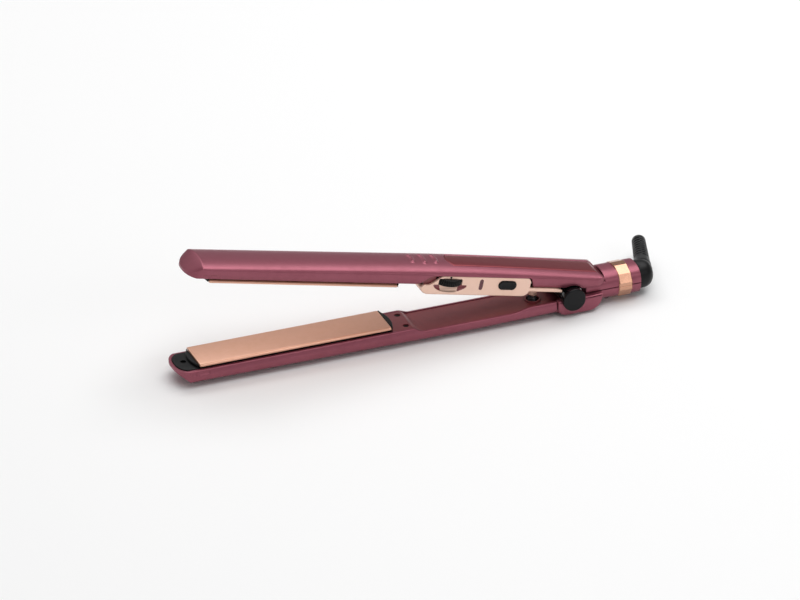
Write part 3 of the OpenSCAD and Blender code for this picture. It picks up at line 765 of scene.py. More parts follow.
def crown_lift(x):
    """How far the upper arm's crown lies inside its fullest height: it falls towards both ends."""
    front = TIP_RISE * ramp(x, FLAT_FROM, FACET_FROM)
    return front + CROWN_RISE * ramp(x, CROWN_FROM, CROWN_TO) ** 1.3


def upper_cut(x, y):
    """The slopes that end the upper arm: the tip's face and the chamfer at the end of the hood."""
    hood = np.interp(x, [CROWN_FROM, HOOD_TO - 5.2, HOOD_TO], [0, CROWN_RISE, 4.6])
    return np.maximum(facet(x, y), hood)


def grips_and_bed(x, y, z):
    """Sinks the inset's bed and raises the grip ribs on the outer face (z runs inwards here)."""
    y, z = snap_marks(x, y, z)
    outer = z < SIDE_MID - 1
    z = z + BED_DEPTH * step(inset_inside(x, y, BED_MARGIN), 0.0, 0.25) * outer
    for at, half in GRIPS:
        bow = at + 0.5 - (y / half) ** 2
        rib = np.exp(-np.abs((x - bow) / GRIP_HALF) ** 3)
        z = z - GRIP_RISE * rib * (1 - step(np.abs(y), half - 1.0, half + 0.5)) * outer
    return y, z


def make_upper_shell():
    x = arm_stations((-228, -108, 2.0), (-108, -77, 0.25), (-77, -34, 2.0), (-34, -25, 0.35),
                     (-25, -9, 1.5), (-9, -7, 0.12), (-7, 7, 0.5), (7, 9, 0.12), (9, 14, 0.6),
                     (14, HOOD_TO, 0.2))
    narrow = ARM_HALF - HOOD_NARROW * ramp(x, HOOD_TO - 7, HOOD_TO) ** 2
    grid = trough(x, 2 * PLATE_Z - upper_edge(x), crown_lift(x), upper_cut, grips_and_bed, narrow)
    build("upper_arm_shell", grid, "upper_arm", "burgundy_shell", "upper_shell",
          place=on_upper_twin)


make_upper_shell()

# %% [markdown]
# ## Handle inset
# The strip in the bed is a thin sheet of the same pearl in a darker tone. It could be cut out of the
# shell, but it is a part of its own, so it is a sheet with a fine seam all round it. Its edges are
# drawn down by fast falling curves instead of a bevel, so it keeps the crown's bend exactly.

# %% Handle inset
INSET_SEAM, INSET_PROUD, INSET_BACK = 0.35, 0.16, 0.92
EDGE_DROP, EDGE_POWER, END_FALL = 0.22, 16, 260


def make_inset():
    """Rows run from the curved front edge to the rear, columns across.

    x(u, y) = front(y) + u (rear - front(y)), and the height is the arm's own crown less a little.
    """
    u = np.unique(np.concatenate([np.linspace(0, 0.012, 4), np.linspace(0.012, 0.93, 48),
                                  np.linspace(0.93, 1, 18)]))[:, None]
    v = np.sin(quarter(41, -90, 90))[None]
    y = np.repeat((INSET_HALF - INSET_SEAM) * v, len(u), 0)
    x = inset_front(y) + INSET_SEAM + u * (INSET_TO - inset_front(y) - 1.5 * INSET_SEAM)
    crown = smooth_max(belly(y, crown_lift(x)), upper_cut(x, y), 0.2)
    ends = np.exp(-u * END_FALL) + np.exp((u - 1) * END_FALL)
    top = crown + INSET_PROUD + EDGE_DROP * (np.abs(v) ** EDGE_POWER + ends)
    grid = wall_loop(x, (y, top), (y, crown + INSET_BACK))
    build("handle_inset_strip", grid, "upper_arm", "burgundy_inset", "handle_inset",
          place=on_upper_twin, crisp=50)


make_inset()

# %% [markdown]
# ## Heated plates
# A plate is a long extruded bar with rounded long edges, and two hooked ribs behind it that hold the
# heater. The bar's section is a stadium with its ends stretched wider, carried along x, and its two
# end rings are drawn in a little. The same grids make both plates.

# %% Heated plates
PLATE_FROM, PLATE_TO, PLATE_HALF, PLATE_T = -235.0, -115.0, 12.0, 2.2
PLATE_GAP, EDGE_STRETCH = 0.3, 1.8
RIB_FOOT, RIB_INSET = 8.2, 3


def bar(from_x, to_x, outline, ends):
    """An outline in y and z carried along x, its two end rings drawn in by `ends`."""
    x = np.array([from_x, from_x + ends * 0.3, from_x + ends, to_x - ends, to_x - ends * 0.3, to_x])
    inset = np.array([ends, ends * 0.3, 0, 0, ends * 0.3, ends])
    flat = outline[None] - inset[:, None, None] * outline_normals(outline)[None]
    return np.concatenate([np.repeat(x[:, None, None], len(outline), 1), flat], -1)


def plate_grids():
    """The face bar, and on each side a rib (near y, far y, top) with its hook."""
    top = PLATE_Z - PLATE_GAP / 2
    face = stadium(2 * PLATE_HALF, PLATE_T) + [0, top - PLATE_T / 2]
    from_edge = PLATE_HALF - np.abs(face[:, 0])
    face[:, 0] = np.sign(face[:, 0]) * (PLATE_HALF - EDGE_STRETCH * from_edge)
    grids = [bar(PLATE_FROM, PLATE_TO, face, 0.5)]
    for s in (-1, 1):
        for near, far, rib_top in ((6.2, 7.4, top - PLATE_T + 0.1), (7.35, 8.8, 9.2)):
            rib = box(*sorted((s * near, s * far)), RIB_FOOT, rib_top, 0.15)
            grids.append(bar(PLATE_FROM + RIB_INSET, PLATE_TO - RIB_INSET, rib, 0.15))
    return grids


for arm, place in ARMS.items():
    build(arm + "_coated_plate", plate_grids(), arm + "_plate_assembly", "coated_plate",
          arm + "_plate", place=place)

# %% [markdown]
# ## Around the plates
# Behind the lower plate lies a land with two sunk screws, and a slope leads from it to the plain
# inner face of the handle. Rows across the arm follow that slope, and the screw seats and the hole
# for the spring cup are cut out afterwards, because a clean round hole needs its own edge.

# %% Inner face of the handle
LAND_FROM, LAND_TO, SLOPE_TO = -114.6, -101.7, -95.8
LAND_HALF, FLOOR_WIDER, FLOOR_Z, FACE_T = 10.9, 1.05, 8.15, 1.7
SCREW_X, SCREW_Y, SEAT_DEPTH, SEAT_R = -104.0, 6.8, 1.8, 1.9
SPRING_X, CUP_DEPTH, CUP_HOLE_R = -20.0, 7.0, 5.15


def make_inner_face():
    """Rows across the arm: half width and height both follow the slope from land to floor."""
    x = stations((LAND_FROM, LAND_TO - 1, 1.0), (LAND_TO - 1, SLOPE_TO + 1, 0.3),
                 (SLOPE_TO + 1, ARM_END, 2.0))
    down = step(x, LAND_TO, SLOPE_TO)
    half = (LAND_HALF + FLOOR_WIDER * down)[:, None]
    top = (RIM - 0.02 - (RIM - FLOOR_Z) * down)[:, None]
    e = 0.3
    q = quarter(5)[None]
    y_side = np.concatenate([half, half - e + e * np.cos(q)], 1)
    z_side = np.concatenate([top - FACE_T, top - e + e * np.sin(q)], 1)
    v = np.linspace(1, -1, 15)[None, 1:-1]
    y = np.concatenate([y_side, (half - e) * v, -y_side[:, ::-1], 0 * half], 1)
    z = np.concatenate([z_side, top + 0 * v, z_side[:, ::-1], top - FACE_T], 1)
    return np.stack([np.repeat(x[:, None], y.shape[1], 1), y, z], -1)


def round_holes(place, at, depth, r):
    """Cutters for round holes sunk from the rim's level at the given (x, y) places."""
    profile = [(0, 0), (r, 0), (r, 0.01), (r, 6), (0, 6)]
    return [loft("cutter", turned(profile, UP, (x, y, RIM - depth), 32), place)
            for x, y in at]


SEATS = round_holes(on_lower, [(SCREW_X, -SCREW_Y), (SCREW_X, SCREW_Y)], SEAT_DEPTH, SEAT_R)
CUP_HOLE = round_holes(on_lower, [(SPRING_X, 0)], CUP_DEPTH, CUP_HOLE_R)
piece(cut(loft("lower_handle_face", make_inner_face(), on_lower), SEATS + CUP_HOLE),
      "lower_arm", "burgundy_inner", "lower_inner_cover")

# %% [markdown]
# ## Crescents and tip inserts
# A black crescent closes each end of a plate: a straight back against the plate, an arc away from
# it. At the tip it stands on a D-shaped insert with a sunk screw, and behind the plate it stands on
# a smaller crescent. Each is a flat outline with a thickness, and both arms use the same outlines.

# %% Crescents and tip inserts
INSERT_IN, INSERT_DEPTH, INSERT_HALF, INSERT_LOW = 1.9, 10.2, 10.75, 9.3


def crescent(chord, bulge, half, low, high, edge=0.6):
    """A flat crescent: a straight back at x = chord, and an arc that stands out by bulge."""
    r = (half ** 2 + bulge ** 2) / (2 * abs(bulge))
    a = math.asin(half / r)
    t = np.linspace(-a, a, 29)
    side = math.copysign(1, bulge)
    arc = np.stack([chord + bulge - side * r * (1 - np.cos(t)), r * np.sin(t)], -1)[:: int(side)]
    back = np.linspace(arc[-1, 1], arc[0, 1], 17)[1:-1]
    back = np.stack([np.full(len(back), float(chord)), back], -1)
    return slab(np.concatenate([arc, back]), low, high, edge, "xyz")


# The rear crescent is filled solid black up to the plate's end. The real bar is a thin arc, and the black between
# the arc and the plate is painted shade of the gap there.
def end_bar():
    """The crescent behind the plate, on a smaller one that stands in the arm."""
    chord = PLATE_TO + 0.3
    return [crescent(chord, 3.2, 11.9, 11.08, 13.75), crescent(chord, 2.6, 10.2, 7.0, 11.6)]


def tip_insert():
    """The D-shaped block follows the arm's plan, moved in, and carries its crescent."""
    nose = ARM_TIP + INSERT_IN + INSERT_DEPTH * (1 - np.cos(quarter(24)))
    x = np.concatenate([nose, [-236.0, -235.5]])
    half = np.minimum(plan_half(x, INSERT_IN), INSERT_HALF)
    half[0] = 0.05
    outline = np.concatenate([np.stack([x, -half], -1), np.stack([x, half], -1)[::-1]])
    return [slab(outline, INSERT_LOW, RIM + 0.6, 0.5, "xyz"),
            crescent(PLATE_FROM - 0.35, -3.1, 10.9, 11.1, 13.5)]


for arm, place in ARMS.items():
    insert = loft(arm + "_tip_insert_block", tip_insert(), place, 40)
    cut(insert, round_holes(place, [(-241.4, 0)], 1.0, 1.75), 40, overlaps=True)
    piece(insert, arm + "_arm", "black_plastic", arm + "_tip_insert")
    build(arm + "_end_bar_crescent", end_bar(), arm + "_arm", "black_plastic", arm + "_end_bar",
          place=place, crisp=40)

# %% [markdown]
# ## Control panel
# The rose-gold panel is the tray that closes the handle from below. Its section is a squarer trough,
# and its outline seen from the side has round corners, a wave at the front top, and a thin strip
# behind. Round the thumb wheel it sinks in a shallow oval bowl. The bowl is moved into the surface,
# and the wheel's slot, the lamp window and the button hole are cut clean through afterwards. The two
# ends of the bowl, where its walls lie in shadow, get a second, darker finish: painted shade.

# %% Control panel
PANEL_LOW, PANEL_HALF, PANEL_T, STRIP_LOW = 11.7, 13.7, 1.4, 14.9
PANEL_FRONT_TOP, PANEL_GAP, STRIP_TAPER = 17.9, 0.15, 1.1
DIAL_AT = np.array([-82.3, -7.2, 19.9])
LAMP_AT, LAMP_SIZE = (-62.0, 19.0), (2.5, 6.9)
BUTTON_AT, BUTTON_HOLE = (-44.8, 19.0), (12.0, 6.0)
SLOT_HALF, SLOT_RISE = 7.7, 2.35
BOWL_AT, BOWL_REACH, BOWL_DEPTH, BOWL_WALL = (-82.1, 18.3), (10.9, 4.7), 2.0, 0.9
# Beyond about this distance from the wheel's middle, the bowl's faces get painted shade.
BOWL_SHADE_FROM = 6.4
SIDE_BAND = -9


def corner(x, at, r, high):
    """Fall of a rounded corner: `high` at x = at, none from r further on."""
    u = np.clip((x - at) / r, 0, 1)
    return high * (1 - np.sqrt(np.clip(1 - (1 - u) ** 2, 0, 1)))


def panel_low(x):
    """Lower outline of the panel: round at the front, level, round up to the strip, level."""
    front = corner(x, PANEL_FROM, 5.5, 3.9)
    rear = corner(-x, -PANEL_TO, 4.5, STRIP_LOW - PANEL_LOW)
    return np.where(x > PANEL_TO, STRIP_LOW, PANEL_LOW + front + rear)


def panel_high(x):
    """Upper outline: a low front, the wave, level, round down to the strip, then tapering."""
    rise = PANEL_TOP - PANEL_GAP - PANEL_FRONT_TOP
    wave = PANEL_FRONT_TOP + rise * step(x, PANEL_FROM + 4.2, PANEL_FROM + 14.0)
    panel = wave - corner(x, PANEL_FROM, 2.4, 2.1) - corner(-x, -PANEL_TO, 2.6, 2.6)
    strip = STRIP_TOP - PANEL_GAP - STRIP_TAPER * ramp(x, -13, -7.5) ** 2
    return np.where(x > PANEL_TO, strip, panel)


def panel_side(d, top, floor):
    """Half loop moved in by d: a small round at the edge, the side, a round corner, the floor."""
    a, top, floor = PANEL_HALF - d, top[:, None], floor[:, None]
    r = np.clip(0.45 * (top - floor), 0.02, 1.1 - 0.5 * (d > 0))
    e = np.clip(0.2 * (top - floor), 0.01, 0.25)
    q = quarter(7)[None]
    coarse = q[:, ::2]
    edge_y, edge_z = a - e + e * np.sin(coarse), top - e + e * np.cos(coarse)
    side_z = top - e + (floor + r - top + e) * np.linspace(0, 1, 62)[None, 1:]
    arc_y, arc_z = a - r + r * np.cos(q[:, 1:]), floor + r - r * np.sin(q[:, 1:])
    flat_y = (a - r) * np.linspace(1, 0, 12)[None, 1:]
    return (np.concatenate([edge_y, a + 0 * side_z, arc_y, flat_y], 1),
            np.concatenate([edge_z, side_z, arc_z, floor + 0 * flat_y], 1))


def bowl_distance(x, z, grow):
    """Squared distance from the bowl's middle, where 1 is its rim moved out by grow."""
    return sum(((v - at) / (reach + grow)) ** 2
               for v, at, reach in zip((x, z), BOWL_AT, BOWL_REACH))


def bowl(x, y, z, grow):
    """The near side pushed in over the lower half of an ellipse; grow widens it for the inside."""
    hollow = np.clip(1 - bowl_distance(x, z, grow), 0, 1) ** 0.55
    return y + BOWL_DEPTH * hollow * (y < SIDE_BAND) * (z < BOWL_AT[1] + grow), z


def panel_grid():
    """The outer half loop and the inner one, mirrored, with the bowl pushed into both."""
    x = stations((PANEL_FROM, PANEL_FROM + 1.2, 0.08), (PANEL_FROM + 1.2, PANEL_FROM + 5.6, 0.25),
                 (PANEL_FROM + 5.6, -70.5, 0.3), (-70.5, PANEL_TO - 4.6, 2.0),
                 (PANEL_TO - 4.6, PANEL_TO - 0.4, 0.2), (PANEL_TO - 0.4, PANEL_TO + 0.1, 0.05),
                 (PANEL_TO + 0.1, -8.0, 1.0))
    low, high = panel_low(x), panel_high(x)
    closed = (x < PANEL_FROM + 1.2) | (np.abs(x - PANEL_TO + 0.7) < 0.7)
    floor = np.where(closed, high - 0.4, np.minimum(low + PANEL_T, high - 0.4))
    floor = np.maximum(floor, low + 0.4 * (high - low))
    yo, zo = panel_side(0.0, high, low)
    yi, zi = panel_side(PANEL_T, high, floor)
    yi, zi = np.minimum(yi, yo - 0.6 * (yo > 1)), np.minimum(zi, high[:, None])
    outer, inner = mirrored(yo, zo), mirrored(yi, zi)
    along = np.repeat(x[:, None], outer[0].shape[1], 1)
    return wall_loop(along, bowl(along, *outer, 0.0), bowl(along, *inner, BOWL_WALL))


def make_panel():
    panel = loft("rose_gold_panel", panel_grid(), on_upper)
    slot = box(-SLOT_HALF, SLOT_HALF, -SLOT_RISE, SLOT_RISE, 0.9) + DIAL_AT[[0, 2]]
    holes = [slot, stadium(*LAMP_SIZE) + LAMP_AT, stadium(*BUTTON_HOLE) + BUTTON_AT]
    cut(panel, [loft("cutter", slab(h, -20, -8.5, 0.01, "xzy"), on_upper) for h in holes])
    piece(panel, "upper_arm", "rose_gold_panel", "control_panel")
    centres = np.zeros(3 * len(panel.data.polygons))
    panel.data.polygons.foreach_get("center", centres)
    x, y, z = off_upper(centres.reshape(-1, 3)).T
    # The bowl's two ends, past the lit middle, get the darker finish as painted shade of their shadowed walls.
    below = BOWL_AT[1] - z
    ends = ((bowl_distance(x, z, -0.05) < 1) & (below > 0.1) & (y < SIDE_BAND)
            & (np.abs(x - DIAL_AT[0]) > BOWL_SHADE_FROM - 0.25 * below))
    panel.data.materials.append(FINISH["burgundy_inner"])
    panel.data.polygons.foreach_set("material_index", ends.astype(np.int32))
    print("dark faces at the bowl's ends:", int(ends.sum()))


make_panel()

# %% [markdown]
# ## Thumb wheel, lug, pointer and button
# Under the panel's strip a round lug presses the opening spring. The temperature wheel lies in its
# slot on the potentiometer's shaft. Its rim is knurled: the radius dips in a regular rounded wave.
# The button is a black stadium with a dished top, and a small raised mark above the wheel points at
# its setting. A texture could fake teeth and dish, but both catch the light, so they are shapes.

# %% Thumb wheel, lug, pointer and button
TEETH, WHEEL_R, WHEEL_H, SHAFT_R, TOOTH_DEPTH = 44, 9.4, 4.2, 1.55, 0.5
LUG_R, LUG_ROUND = 3.0, 1.2
BUTTON_SIZE, BUTTON_FACE_Y = (11.7, 5.7), -14.5
BUTTON_RINGS = [(0.0, 4.3), (0.0, 0.55), (0.12, 0.22), (0.45, 0.02), (0.8, 0.0), (1.2, 0.12),
                (1.8, 0.25), (2.4, 0.32), (2.8, 0.35)]


def make_lug():
    """The round lug that presses the opening spring: a turned profile with a domed end."""
    q = quarter(8)
    dome = np.stack([LUG_R - LUG_ROUND + LUG_ROUND * np.sin(q), LUG_ROUND * (1 - np.cos(q))], -1)
    profile = np.concatenate([[[0, 0]], dome, [[LUG_R, 4.6], [3.3, 6.0], [0, 6.0]]])
    lug = turned(profile, UP, (SPRING_X, 0, 6.85), 40)
    build("spring_lug", lug, "upper_arm", "rose_gold_panel")


def knurl(angle, radius, distance):
    """The rim's radius less a rounded wave, one dip for each tooth."""
    wave = np.abs(np.sin(angle * TEETH / 2)) ** 0.7
    return radius - np.where(radius > WHEEL_R - 0.5, TOOTH_DEPTH * (1 - wave), 0)


def make_wheel():
    """Half the profile is (radius, distance from the middle); the other half mirrors it."""
    h = WHEEL_H / 2
    half = [(SHAFT_R, h), (WHEEL_R - 0.9, h), (WHEEL_R - 0.3, h - 0.25), (WHEEL_R, h - 0.7)]
    profile = [(r, -d) for r, d in half] + [(WHEEL_R, 0)] + half[::-1] + [(SHAFT_R, -h)]
    wheel = turned(profile, UP, DIAL_AT, TEETH * 8, knurl)
    build("thumb_wheel", wheel, "dial", "black_plastic", "temperature_dial")


def make_button():
    """Rings of the stadium, each (moved in by, depth): up the side, over the rim, into the dish."""
    outline = stadium(*BUTTON_SIZE)
    inset, depth = np.array(BUTTON_RINGS).T[:, :, None]
    flat = outline - inset[..., None] * outline_normals(outline) + BUTTON_AT
    grid = np.stack([flat[..., 0], BUTTON_FACE_Y + depth + 0 * flat[..., 0], flat[..., 1]], -1)
    back = slab(box(-7.05, 7.05, -1.9, 1.9, 0.4) + BUTTON_AT, -11.2, -10.2, 0.15, "xzy")
    build("power_push_button", [grid, back], "button", "black_gloss", "power_button")


def make_pointer():
    """A small raised wedge on the panel, wide above and narrow at the wheel."""
    wedge = rounded([(-0.3, -0.6), (0.3, -0.6), (0.75, 0.6), (-0.75, 0.6)], 0.15)
    mark = slab(wedge + [DIAL_AT[0] - 0.2, 23.0], -13.85, -13.4, 0.08, "xzy")
    build("dial_pointer", mark, "upper_arm", "black_plastic")


make_lug()
make_wheel()
make_button()
make_pointer()

# %% [markdown]
# ## Hinge
# The lower arm ends in a yoke with a cheek on each side, and the pin through it is covered by a
# round black cap at each end. The cheek is a flat outline with a wide rounded edge, so it reads as
# one with the arm. Each cap is a turned profile: a straight skirt, a soft shoulder and a faint dome.

# %% Hinge
YOKE_FROM, YOKE_TO, YOKE_LOW = -9.4, 19.5, 1.3
CHEEK_IN, CHEEK_OUT, CAP_SEAT = 11.0, 14.9, 15.5
CAP_R, CAP_SHOULDER, CAP_FOOT = 7.2, 0.8, -3.0


def make_yoke():
    """Two cheeks, the floor between them, and the two tongues that reach into arm and tail."""
    cheek = rounded([(YOKE_FROM, 10.9), (YOKE_FROM, YOKE_LOW), (YOKE_TO, YOKE_LOW),
                     (YOKE_TO, 11.45), (6.5, 11.2)], [0.8, 5.5, 8.8, 0.5, 0.3], 12)
    inside = YOKE_FROM + 0.2
    floor = rounded([(inside, 1.9), (13.0, 1.9), (15.5, 5.0), (inside, 5.0)], [2.5, 1.5, 0.3, 0.3])
    grids = [slab(cheek, CHEEK_IN, CHEEK_OUT, 1.1, "xzy", 0.15) * [1, s, 1] for s in (-1, 1)]
    grids += [slab(floor, -CHEEK_IN - 0.6, CHEEK_IN + 0.6, 0.02, "xzy"),
              slab(box(-14.7, -9, 3.3, 5.0, 0.3), -8.5, 8.5, 0.3, "xzy"),
              slab(box(13, 21.5, 4.9, 7.0, 0.4), -5.4, 5.4, 0.3, "xzy")]
    build("hinge_yoke_cheeks", grids, "lower_arm", "burgundy_shell", "hinge_yoke")


def make_cap(name, node, side):
    """Skirt, shoulder and dome as (radius, distance out), turned about the pin."""
    q = quarter(9)[1:]
    shoulder = np.stack([CAP_R - CAP_SHOULDER + CAP_SHOULDER * np.cos(q),
                         1.2 + 0.75 * np.sin(q)], -1)
    profile = np.concatenate([[[0, CAP_FOOT], [CAP_R - 0.1, CAP_FOOT], [CAP_R, CAP_FOOT + 0.15],
                               [CAP_R, 1.2]], shoulder,
                              [[CAP_R - 2.2, 2.05], [CAP_R - 4.5, 2.15], [0, 2.2]]])
    cap = turned(profile, (0, side, 0), (0, side * CAP_SEAT, HINGE[2]), 96)
    build(name, cap, "lower_arm", "black_gloss", node)


make_yoke()
make_cap("near_hinge_cap", "hinge_cap_near", -1)
make_cap("far_hinge_cap", "hinge_cap_far", 1)

# %% [markdown]
# ## Opening spring and its cup
# A coil of steel wire stands in a small cup and pushes the arms open. The wire is a round tube along
# a helix whose end turns lie flat. When the arms close the real coil gets shorter; the piece here
# rides on the lower arm at its full length.

# %% Opening spring and its cup
COIL_R, WIRE_R, COIL_TURNS = 2.35, 0.38, 6.5
COIL_FOOT, COIL_RISE, COIL_LEAN, COIL_KEEP = 4.4, 5.9, 0.35, 0.42


def make_spring():
    """The helix r(cos, sin) of an angle, with a height that is nearly level at both ends."""
    t = np.linspace(0, 1, 330)
    rise = np.interp(t, [0, 0.11, 0.89, 1], [0, 0.06, 0.94, 1])
    a = 2 * math.pi * COIL_TURNS * t
    path = np.stack([SPRING_X - COIL_LEAN * t + COIL_R * np.cos(a), COIL_R * np.sin(a),
                     COIL_FOOT + COIL_RISE * rise], -1)
    spring = build("opening_coil", tube(path, WIRE_R), "lower_arm",
                   "spring_steel", "opening_spring")
    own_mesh(spring)


def make_cup():
    """A turned cup: the bore, over a soft lip, down the outside and across the bottom."""
    profile = [(3.9, 4.0), (3.9, 8.7), (4.1, 8.95), (4.45, 9.02), (4.8, 8.95), (5.0, 8.6),
               (5.0, 3.0), (4.8, 2.9), (0, 2.9), (0, 4.0), (3.7, 4.0), (3.9, 4.0)]
    cup = turned(profile, UP, (SPRING_X, 0, 0), 64)
    build("spring_seat_cup", cup, "lower_arm", "burgundy_inner", "spring_cup")


make_spring()
make_cup()

# %% [markdown]
# ## Tail
# The tail is two half shells of a rounded box section that meet on a fine line. Each half is half of
# a superellipse and the same curve moved in by the wall, run backwards. The front of the upper half
# is kept low, as a neck under the hood, and two posts inside it take the screws.

# %% Tail
TAIL_Z, TAIL_SIZE, TAIL_POWER, TAIL_WALL = 11.5, np.array([10.9, 9.0]), 2.6, 1.5
TAIL_FROM, TAIL_TO, TAIL_ROUND, TAIL_SEAM = 19.7, 46.0, 0.35, 0.03
NECK_FROM, NECK_TO, NECK_HIGH, NECK_WALL = 10, 22.9, 16.2, 1.3
POST_X, POST_Y = 25, 5.4


def half_tail(from_x, up, neck=False):
    """Upper (up = 1) or lower half of the tail: half of the outer curve, the inner curve back."""
    t = np.radians(np.linspace(0.6, 179.4, 60))
    e = TAIL_ROUND
    x = stations((from_x, from_x + e, 0.09), (from_x + e, TAIL_TO - e, 3.0),
                 (TAIL_TO - e, TAIL_TO, 0.09))
    if neck:
        extra = NECK_TO + np.array([-0.3, -0.1, 0.0, 0.02, 0.1, 0.3, 1.4, 1.42])
        x = np.unique(np.concatenate([x, extra]))
    near = np.clip(np.minimum(x - from_x, TAIL_TO - x), 0, e)
    inset = e - np.sqrt(np.clip(e ** 2 - (e - near) ** 2, 0, None))
    outer = np.array([superellipse(t, *(TAIL_SIZE - d), TAIL_POWER) for d in inset])
    inner = np.tile(superellipse(t, *(TAIL_SIZE - TAIL_WALL), TAIL_POWER)[::-1], (len(x), 1, 1))
    if neck:
        full = TAIL_SIZE[1] - 0.35 * (1 - step(x, NECK_TO, NECK_TO + 0.35))
        roof = np.where(x <= NECK_TO + 0.01, NECK_HIGH - TAIL_Z, full)
        under = np.where(x <= NECK_TO + 1.41, NECK_HIGH - TAIL_Z - NECK_WALL, np.inf)
        outer[..., 1] = np.minimum(outer[..., 1], roof[:, None])
        inner[..., 1] = np.minimum(inner[..., 1], under[:, None])
    loop = np.concatenate([outer, inner], 1)
    along = np.repeat(x[:, None], loop.shape[1], 1)
    return np.stack([along, loop[..., 0], TAIL_Z + up * (loop[..., 1] + TAIL_SEAM)], -1)


def screw_post(y):
    """The post that takes a tail screw, up to the roof of the upper half."""
    profile = [(1.2, 9.6), (2.3, 9.6), (2.3, 18.6), (0, 18.6), (0, 17), (1.2, 17), (1.2, 9.6)]
    return turned(profile, UP, (POST_X, y, 0), 32)


upper_tail = [half_tail(NECK_FROM, 1, neck=True), screw_post(-POST_Y), screw_post(POST_Y)]
build("tail_lower_half", half_tail(TAIL_FROM, -1), "lower_arm", "burgundy_shell",
      "tail_lower_shell")
build("tail_upper_half", upper_tail, "lower_arm", "burgundy_shell", "tail_upper_shell")

# %% [markdown]
# ## Trim ring
# A bright ring goes round the tail. Its outside has flat facets, so it catches the light in steps,
# and a fine line on each side. The facets are straight lines between a few points, the inside has
# the tail's own curve, and a low angle for sharp edges keeps the facets crisp.

# %% Trim ring
RING_FROM, RING_TO, RING_EDGE, RING_SHRINK, RING_CRISP = 31.5, 40.0, 0.5, 0.962, 12
RING_SIDE = [(0, 9.9), (2.4, 9.88), (8.9, 7.15), (11.78, 2.3), (11.8, 0.14), (11.6, 0.0),
             (11.8, -0.14), (11.78, -2.3), (8.9, -7.15), (2.4, -9.88)]


def make_ring():
    """A band: flat top, a bevel, an upright side, a line, and the same below, round the tail."""
    outer = np.array(RING_SIDE + [(-y, z) for y, z in RING_SIDE[::-1][:-1]] + [(0, -9.9)])
    outer = outer[np.argsort(np.arctan2(outer[:, 1], outer[:, 0]))]
    angle = np.arctan2(*(outer / TAIL_SIZE).T[::-1])
    way = np.stack([np.cos(angle), np.sin(angle)], -1)
    size = (np.abs(way) ** TAIL_POWER).sum(1) ** (-1 / TAIL_POWER)
    inner = way * (TAIL_SIZE + TAIL_SEAM) * size[:, None]
    rim = outer * RING_SHRINK
    rows = [(RING_FROM, inner), (RING_FROM, rim), (RING_FROM + RING_EDGE, outer),
            (RING_TO - RING_EDGE, outer), (RING_TO, rim), (RING_TO, inner), (RING_FROM, inner)]
    grid = np.array([np.insert(r + [0, TAIL_Z], 0, x, axis=1) for x, r in rows])
    ring = new_object("faceted_trim_ring", on_lower(grid), walls(*grid.shape[:2]), RING_CRISP)
    piece(ring, "lower_arm", "rose_gold_trim", "trim_ring")


make_ring()

# %% [markdown]
# ## Boot and strain relief
# The boot is a dome turned about the tail's axis with a flared neck at its side. The strain relief
# is a tapered sleeve with two rows of short slots, each row set half a pitch after the other, which
# let the real one bend. The slots are dips in its radius that fade at their ends.

# %% Boot and strain relief
BOOT_AT = np.array([52.3, 0.0, TAIL_Z])
EXIT_TURN = math.radians(19.5)
EXIT = np.array([math.sin(EXIT_TURN), math.cos(EXIT_TURN), 0.0])
DOME_R, DOME_RISE, DOME_FROM, DOME_POWER = 8.7, 7.7, 49.5, 2.4
NECK, RELIEF, CABLE_R = 9.6, 31.5, 3.2
RELIEF_R, RELIEF_TAPER, RELIEF_ROUND = 4.95, 0.75, 0.8
SLOT_PITCH, SLOT_DEPTH = 2.9, 1.3
SLOT_ROWS = [(0.5, 0.0), (1.5, 0.0), (0.0, 0.5), (1.0, 0.5)]


def make_boot():
    """The dome's profile is a step and a quarter superellipse; the stem flares at its middle."""
    dome = superellipse(quarter(22), DOME_R, DOME_RISE, DOME_POWER) + [0, DOME_FROM]
    foot = [[0, 46.3], [8.2, 46.3], [8.55, 46.5], [DOME_R, 46.9], [DOME_R, 48.0]]
    body = turned(np.concatenate([foot, dome]), (1, 0, 0), (0, 0, TAIL_Z), 80)
    s = np.linspace(0, 1, 16)
    flare = 5.2 + 0.6 * (1 - s) ** 2 - 1.8 * np.clip(1 - s / 0.3, 0, 1) ** 2
    bore = CABLE_R + 0.1
    neck = np.concatenate([[[0, 0.5]], np.stack([flare, 1.0 + (NECK - 0.3 - 1.0) * s], -1),
                           [[5.0, NECK], [bore, NECK], [bore, NECK - 3], [0, NECK - 3]]])
    stem = turned(neck, tuple(EXIT), tuple(BOOT_AT), 80)
    build("swivel_elbow_boot", [body, stem], "swivel", "black_plastic", "swivel_boot")


def slots(angle, radius, d):
    """The sleeve's radius less its slots: rows at four angles (in half turns), spaced by pitch."""
    body = step(d, 4.6, 5.2) * (1 - step(d, RELIEF - 2.4, RELIEF - 1.8)) * (radius > CABLE_R + 0.2)
    dips = 0.0
    for half_turns, shift in SLOT_ROWS:
        off = np.abs((angle - math.pi * half_turns + math.pi) % (2 * math.pi) - math.pi)
        phase = np.abs((d / SLOT_PITCH + shift) % 1 - 0.5)
        dips = np.maximum(dips, (1 - step(off, 0.66, 0.77)) * (1 - step(phase, 0.19, 0.27)))
    return radius - SLOT_DEPTH * dips * body


def make_relief():
    """A cone with a rounded end and the cable's bore, turned about the leaning exit."""
    along = np.linspace(0, RELIEF, 230)
    end = RELIEF - along
    k = RELIEF_ROUND
    drop = k - np.sqrt(np.clip(k * k - (k - end) ** 2, 0, None))
    base = RELIEF_R - RELIEF_TAPER * along / RELIEF - np.where(end < k, drop, 0)
    bore = [[CABLE_R, RELIEF], [CABLE_R, 0.0], [base[0], 0.0]]
    profile = np.concatenate([np.stack([base, along], -1), bore])
    foot = tuple(BOOT_AT + EXIT * (NECK + 0.02))
    relief = turned(profile, tuple(EXIT), foot, 96, slots)
    build("ribbed_strain_relief", relief, "swivel", "black_rubber", "strain_relief")


make_boot()
make_relief()

